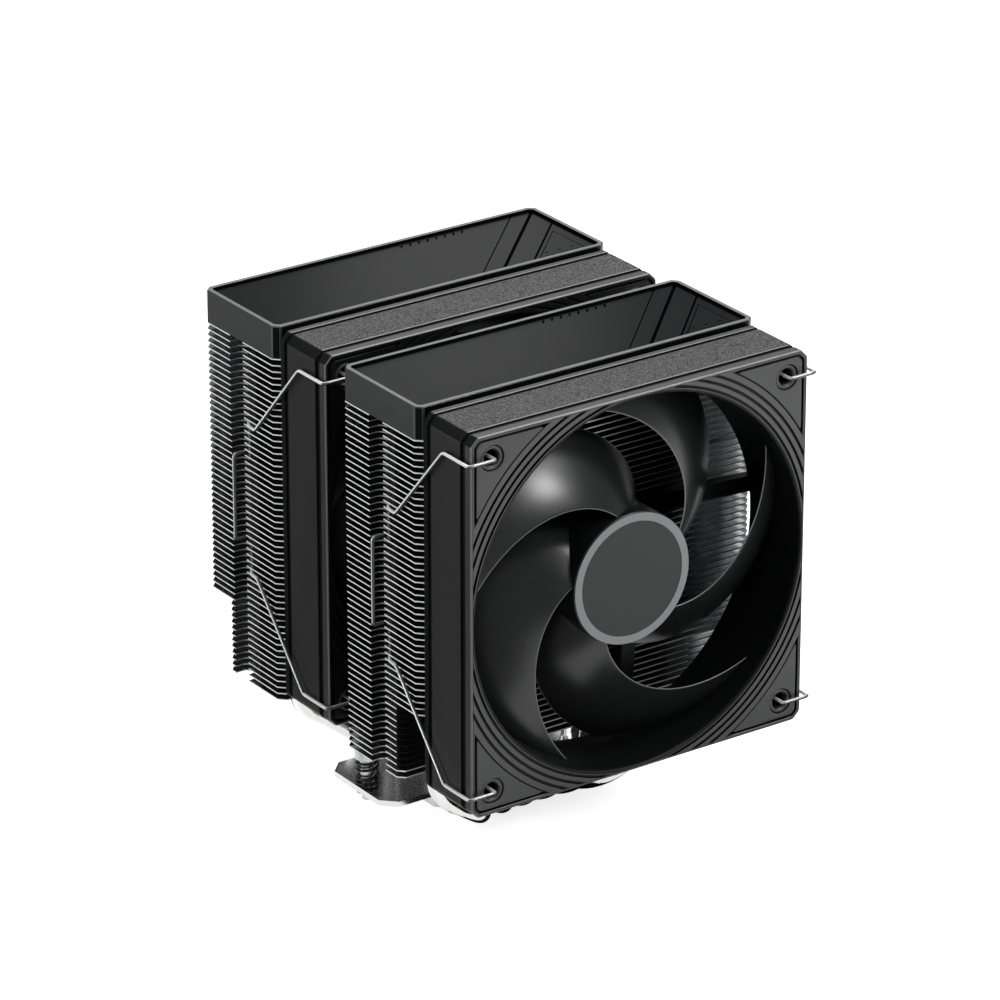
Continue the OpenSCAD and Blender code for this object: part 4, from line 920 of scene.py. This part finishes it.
for fan, front_y in fan_fronts.items():
    for side, sign in (("left", -1), ("right", 1)):
        half_paths = []
        for up, hook_z in zip((1, -1), catch_z):
            tip_z = fan_z + up * hole_at
            half_paths.append(np.array([
                [hole_at, clip_tip, tip_z], [hole_at, -clip_front, tip_z], [clip_side, -clip_front, tip_z],
                [clip_side, clip_turn, tip_z], [clip_side, notch_depth - hook_from, hook_z],
                [hook_x, notch_depth - hook_from + hook_l, hook_z], [leg_x, notch_depth + leg_behind, hook_z],
                [leg_x, notch_depth + leg_behind, fan_z + up * loop_half],
                [loop_x, notch_depth + leg_behind, fan_z + up * loop_half]]))
        corners = np.concatenate([half_paths[0], half_paths[1][::-1]]) * [sign, 1, 1] + [0, front_y, 0]
        wire = wire_grid(rounded_profile(corners, *wire_bend), wire_r, wire_sides)
        clip = welded(f"{fan}_{side}_clip_wire", [(wire, 0)], [wire_painted_light], crease=60)
        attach(clip, f"{fan}_{side}_clip_body")
        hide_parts(f"{fan}_{side}_clip")

# Studio: a plain pale floor, soft boxes, cards and the photograph's long-lens camera.
# Floor and surroundings show as white behind the object, and the floor keeps its shadow.
paper_grain = 2.0
floor_half = 3000.0
floor_glow = 0.78
room_glow = 0.3
room_half = 1300
wall_foot = 60
wall_h = 2000

# Floor paper: an even near white that glows only to the camera and in mirrors.
white, tree, place = finish_named("white floor paper")
grain = add(tree, "TexNoise", {"Vector": place, "Scale": 1 / (paper_grain * mm), "Detail": 2.0})
tone = add(tree, "ValToRGB", {"Fac": grain})
tone.color_ramp.elements[0].color = linear("#d8d8d8")
tone.color_ramp.elements[1].color = linear("#dedede")
ray = add(tree, "LightPath", {})
seen = add(tree, "Math", {0: ray.outputs["Is Camera Ray"], 1: ray.outputs["Is Glossy Ray"]},
           operation="MAXIMUM")
seen = add(tree, "Math", {0: seen, 1: floor_glow}, operation="MULTIPLY")
paper = add(tree, "BsdfDiffuse", {"Color": tone})
glow = add(tree, "Emission", {"Color": (1, 1, 1, 1), "Strength": seen})
close_finish(tree, add(tree, "AddShader", {0: paper, 1: glow}))
corner = np.array([-floor_half, floor_half])
across, along = np.meshgrid(corner, corner, indexing="ij")
floor = welded("floor", [(np.stack([across, along, np.zeros_like(across)], -1), 0)], [white])

# Cards that only reflections see. Grey ones keep the sides dark, black ones darken what the low parts mirror,
# and a lit one brightens the right ends of the gaps between the fins.
plain_cards = []
for name, dark, light in (("dark grey card", "#8a8a8a", "#949494"), ("black card", "#1c1c1c", "#242424")):
    finish, tree, place = finish_named(name)
    grain = add(tree, "TexNoise", {"Vector": place, "Scale": 1 / (paper_grain * mm), "Detail": 2.0})
    tone = add(tree, "ValToRGB", {"Fac": grain})
    tone.color_ramp.elements[0].color = linear(dark)
    tone.color_ramp.elements[1].color = linear(light)
    close_finish(tree, add(tree, "BsdfDiffuse", {"Color": tone}))
    plain_cards.append(finish)
card_grey, card_black = plain_cards
bright_card, tree, place = finish_named("lit white card")
grain = add(tree, "TexNoise", {"Vector": place, "Scale": 1 / (paper_grain * mm), "Detail": 2.0})
glow = add(tree, "MapRange", {"Value": grain, "To Min": 0.85, "To Max": 0.95})
close_finish(tree, add(tree, "Emission", {"Color": (1, 1, 1, 1), "Strength": glow}))
cards = {
    "left_card": (card_grey, (-85, -250, 1), (0, 750, 0), (0, 0, 420)),
    "back_card": (card_black, (-25, 150, 45), (90, 0, 0), (0, 0, 105)),
    "front_mat": (card_black, (-30, -140, 0.6), (150, 0, 0), (0, 93, 0)),
    "under_mat": (card_black, (-30, -37, 0.6), (150, 0, 0), (0, 37, 0)),
    "back_mat": (card_black, (-85, 60, 1), (225, 0, 0), (0, 280, 0)),
    "right_card": (bright_card, (120, 250, 1), (200, -210, 0), (0, 0, 170))}
for name, x, y in (("front_wall", -1, -1), ("right_wall", 1, -1), ("back_wall", 1, 1), ("left_wall", -1, 1)):
    along = (-(x + y) * room_half, (x - y) * room_half, 0)
    cards[name] = (card_grey, (x * room_half, y * room_half, wall_foot), along, (0, 0, wall_h))
steps = np.array([0.0, 1.0])
for name, (finish, corner, along, up) in cards.items():
    sheet = np.array(corner) + steps[:, None, None] * np.array(along) + steps[None, :, None] * np.array(up)
    card = welded(name, [(sheet, 0)], [finish])
    card.visible_camera = False
    card.visible_diffuse = False
    card.visible_shadow = False
    card.visible_transmission = False

world = bpy.data.worlds.new("studio")
bpy.context.scene.world = world
world.use_nodes = True
tree = world.node_tree
tree.nodes.clear()
ray = add(tree, "LightPath", {})
bright = add(tree, "Math", {0: ray.outputs["Is Camera Ray"], 1: ray.outputs["Is Glossy Ray"]},
             operation="MAXIMUM")
bright = add(tree, "Math", {0: bright, 1: ray.outputs["Is Transmission Ray"]}, operation="MAXIMUM")
dim = add(tree, "Background", {"Color": (1, 1, 1, 1), "Strength": room_glow})
full = add(tree, "Background", {"Color": (1, 1, 1, 1), "Strength": 1.0})
mixed = add(tree, "MixShader", {0: bright, 1: dim, 2: full})
add(tree, "OutputWorld", {"Surface": mixed})

aim = Vector((0, -0.03, 0.09))
soft_boxes = (
    ("front_soft_box", (0.41, -0.74, 0.54), 1.2, 0.22, 0.22, 5.2),
    ("top_soft_box", (0.25, 0.36, 0.9), 1.3, 1.0, 1.0, 13.0),
    ("edge_soft_box", (0.52, -0.4, 0.75), 1.2, 0.4, 0.4, 6.0),
    ("panel_soft_box", (0.489, 0.771, 0.4), 0.7, 0.11, 0.3, 0.095),
    ("left_soft_box", (-1.0, 0.05, 0.08), 1.2, 0.25, 0.25, 7.5))
for name, direction, distance, wide, high, power in soft_boxes:
    lamp = bpy.data.lights.new(name, "AREA")
    lamp.shape = "RECTANGLE"
    lamp.size = wide
    lamp.size_y = high
    lamp.energy = power
    box = bpy.data.objects.new(name, lamp)
    box.location = aim + distance * Vector(direction).normalized()
    box.rotation_euler = (box.location - aim).to_track_quat("Z", "Y").to_euler()
    bpy.context.scene.collection.objects.link(box)

camera_data = bpy.data.cameras.new("camera")
camera_data.lens = 210.2
camera_data.sensor_width = 36.0
camera = bpy.data.objects.new("camera", camera_data)
camera.location = (-0.91984, -1.32861, 0.80072)
look_at = Vector((-0.023248, -0.045002, 0.114839))
camera.rotation_euler = (camera.location - look_at).to_track_quat("Z", "Y").to_euler()
bpy.context.scene.collection.objects.link(camera)
bpy.context.scene.camera = camera
bpy.context.scene.view_settings.view_transform = "Standard"
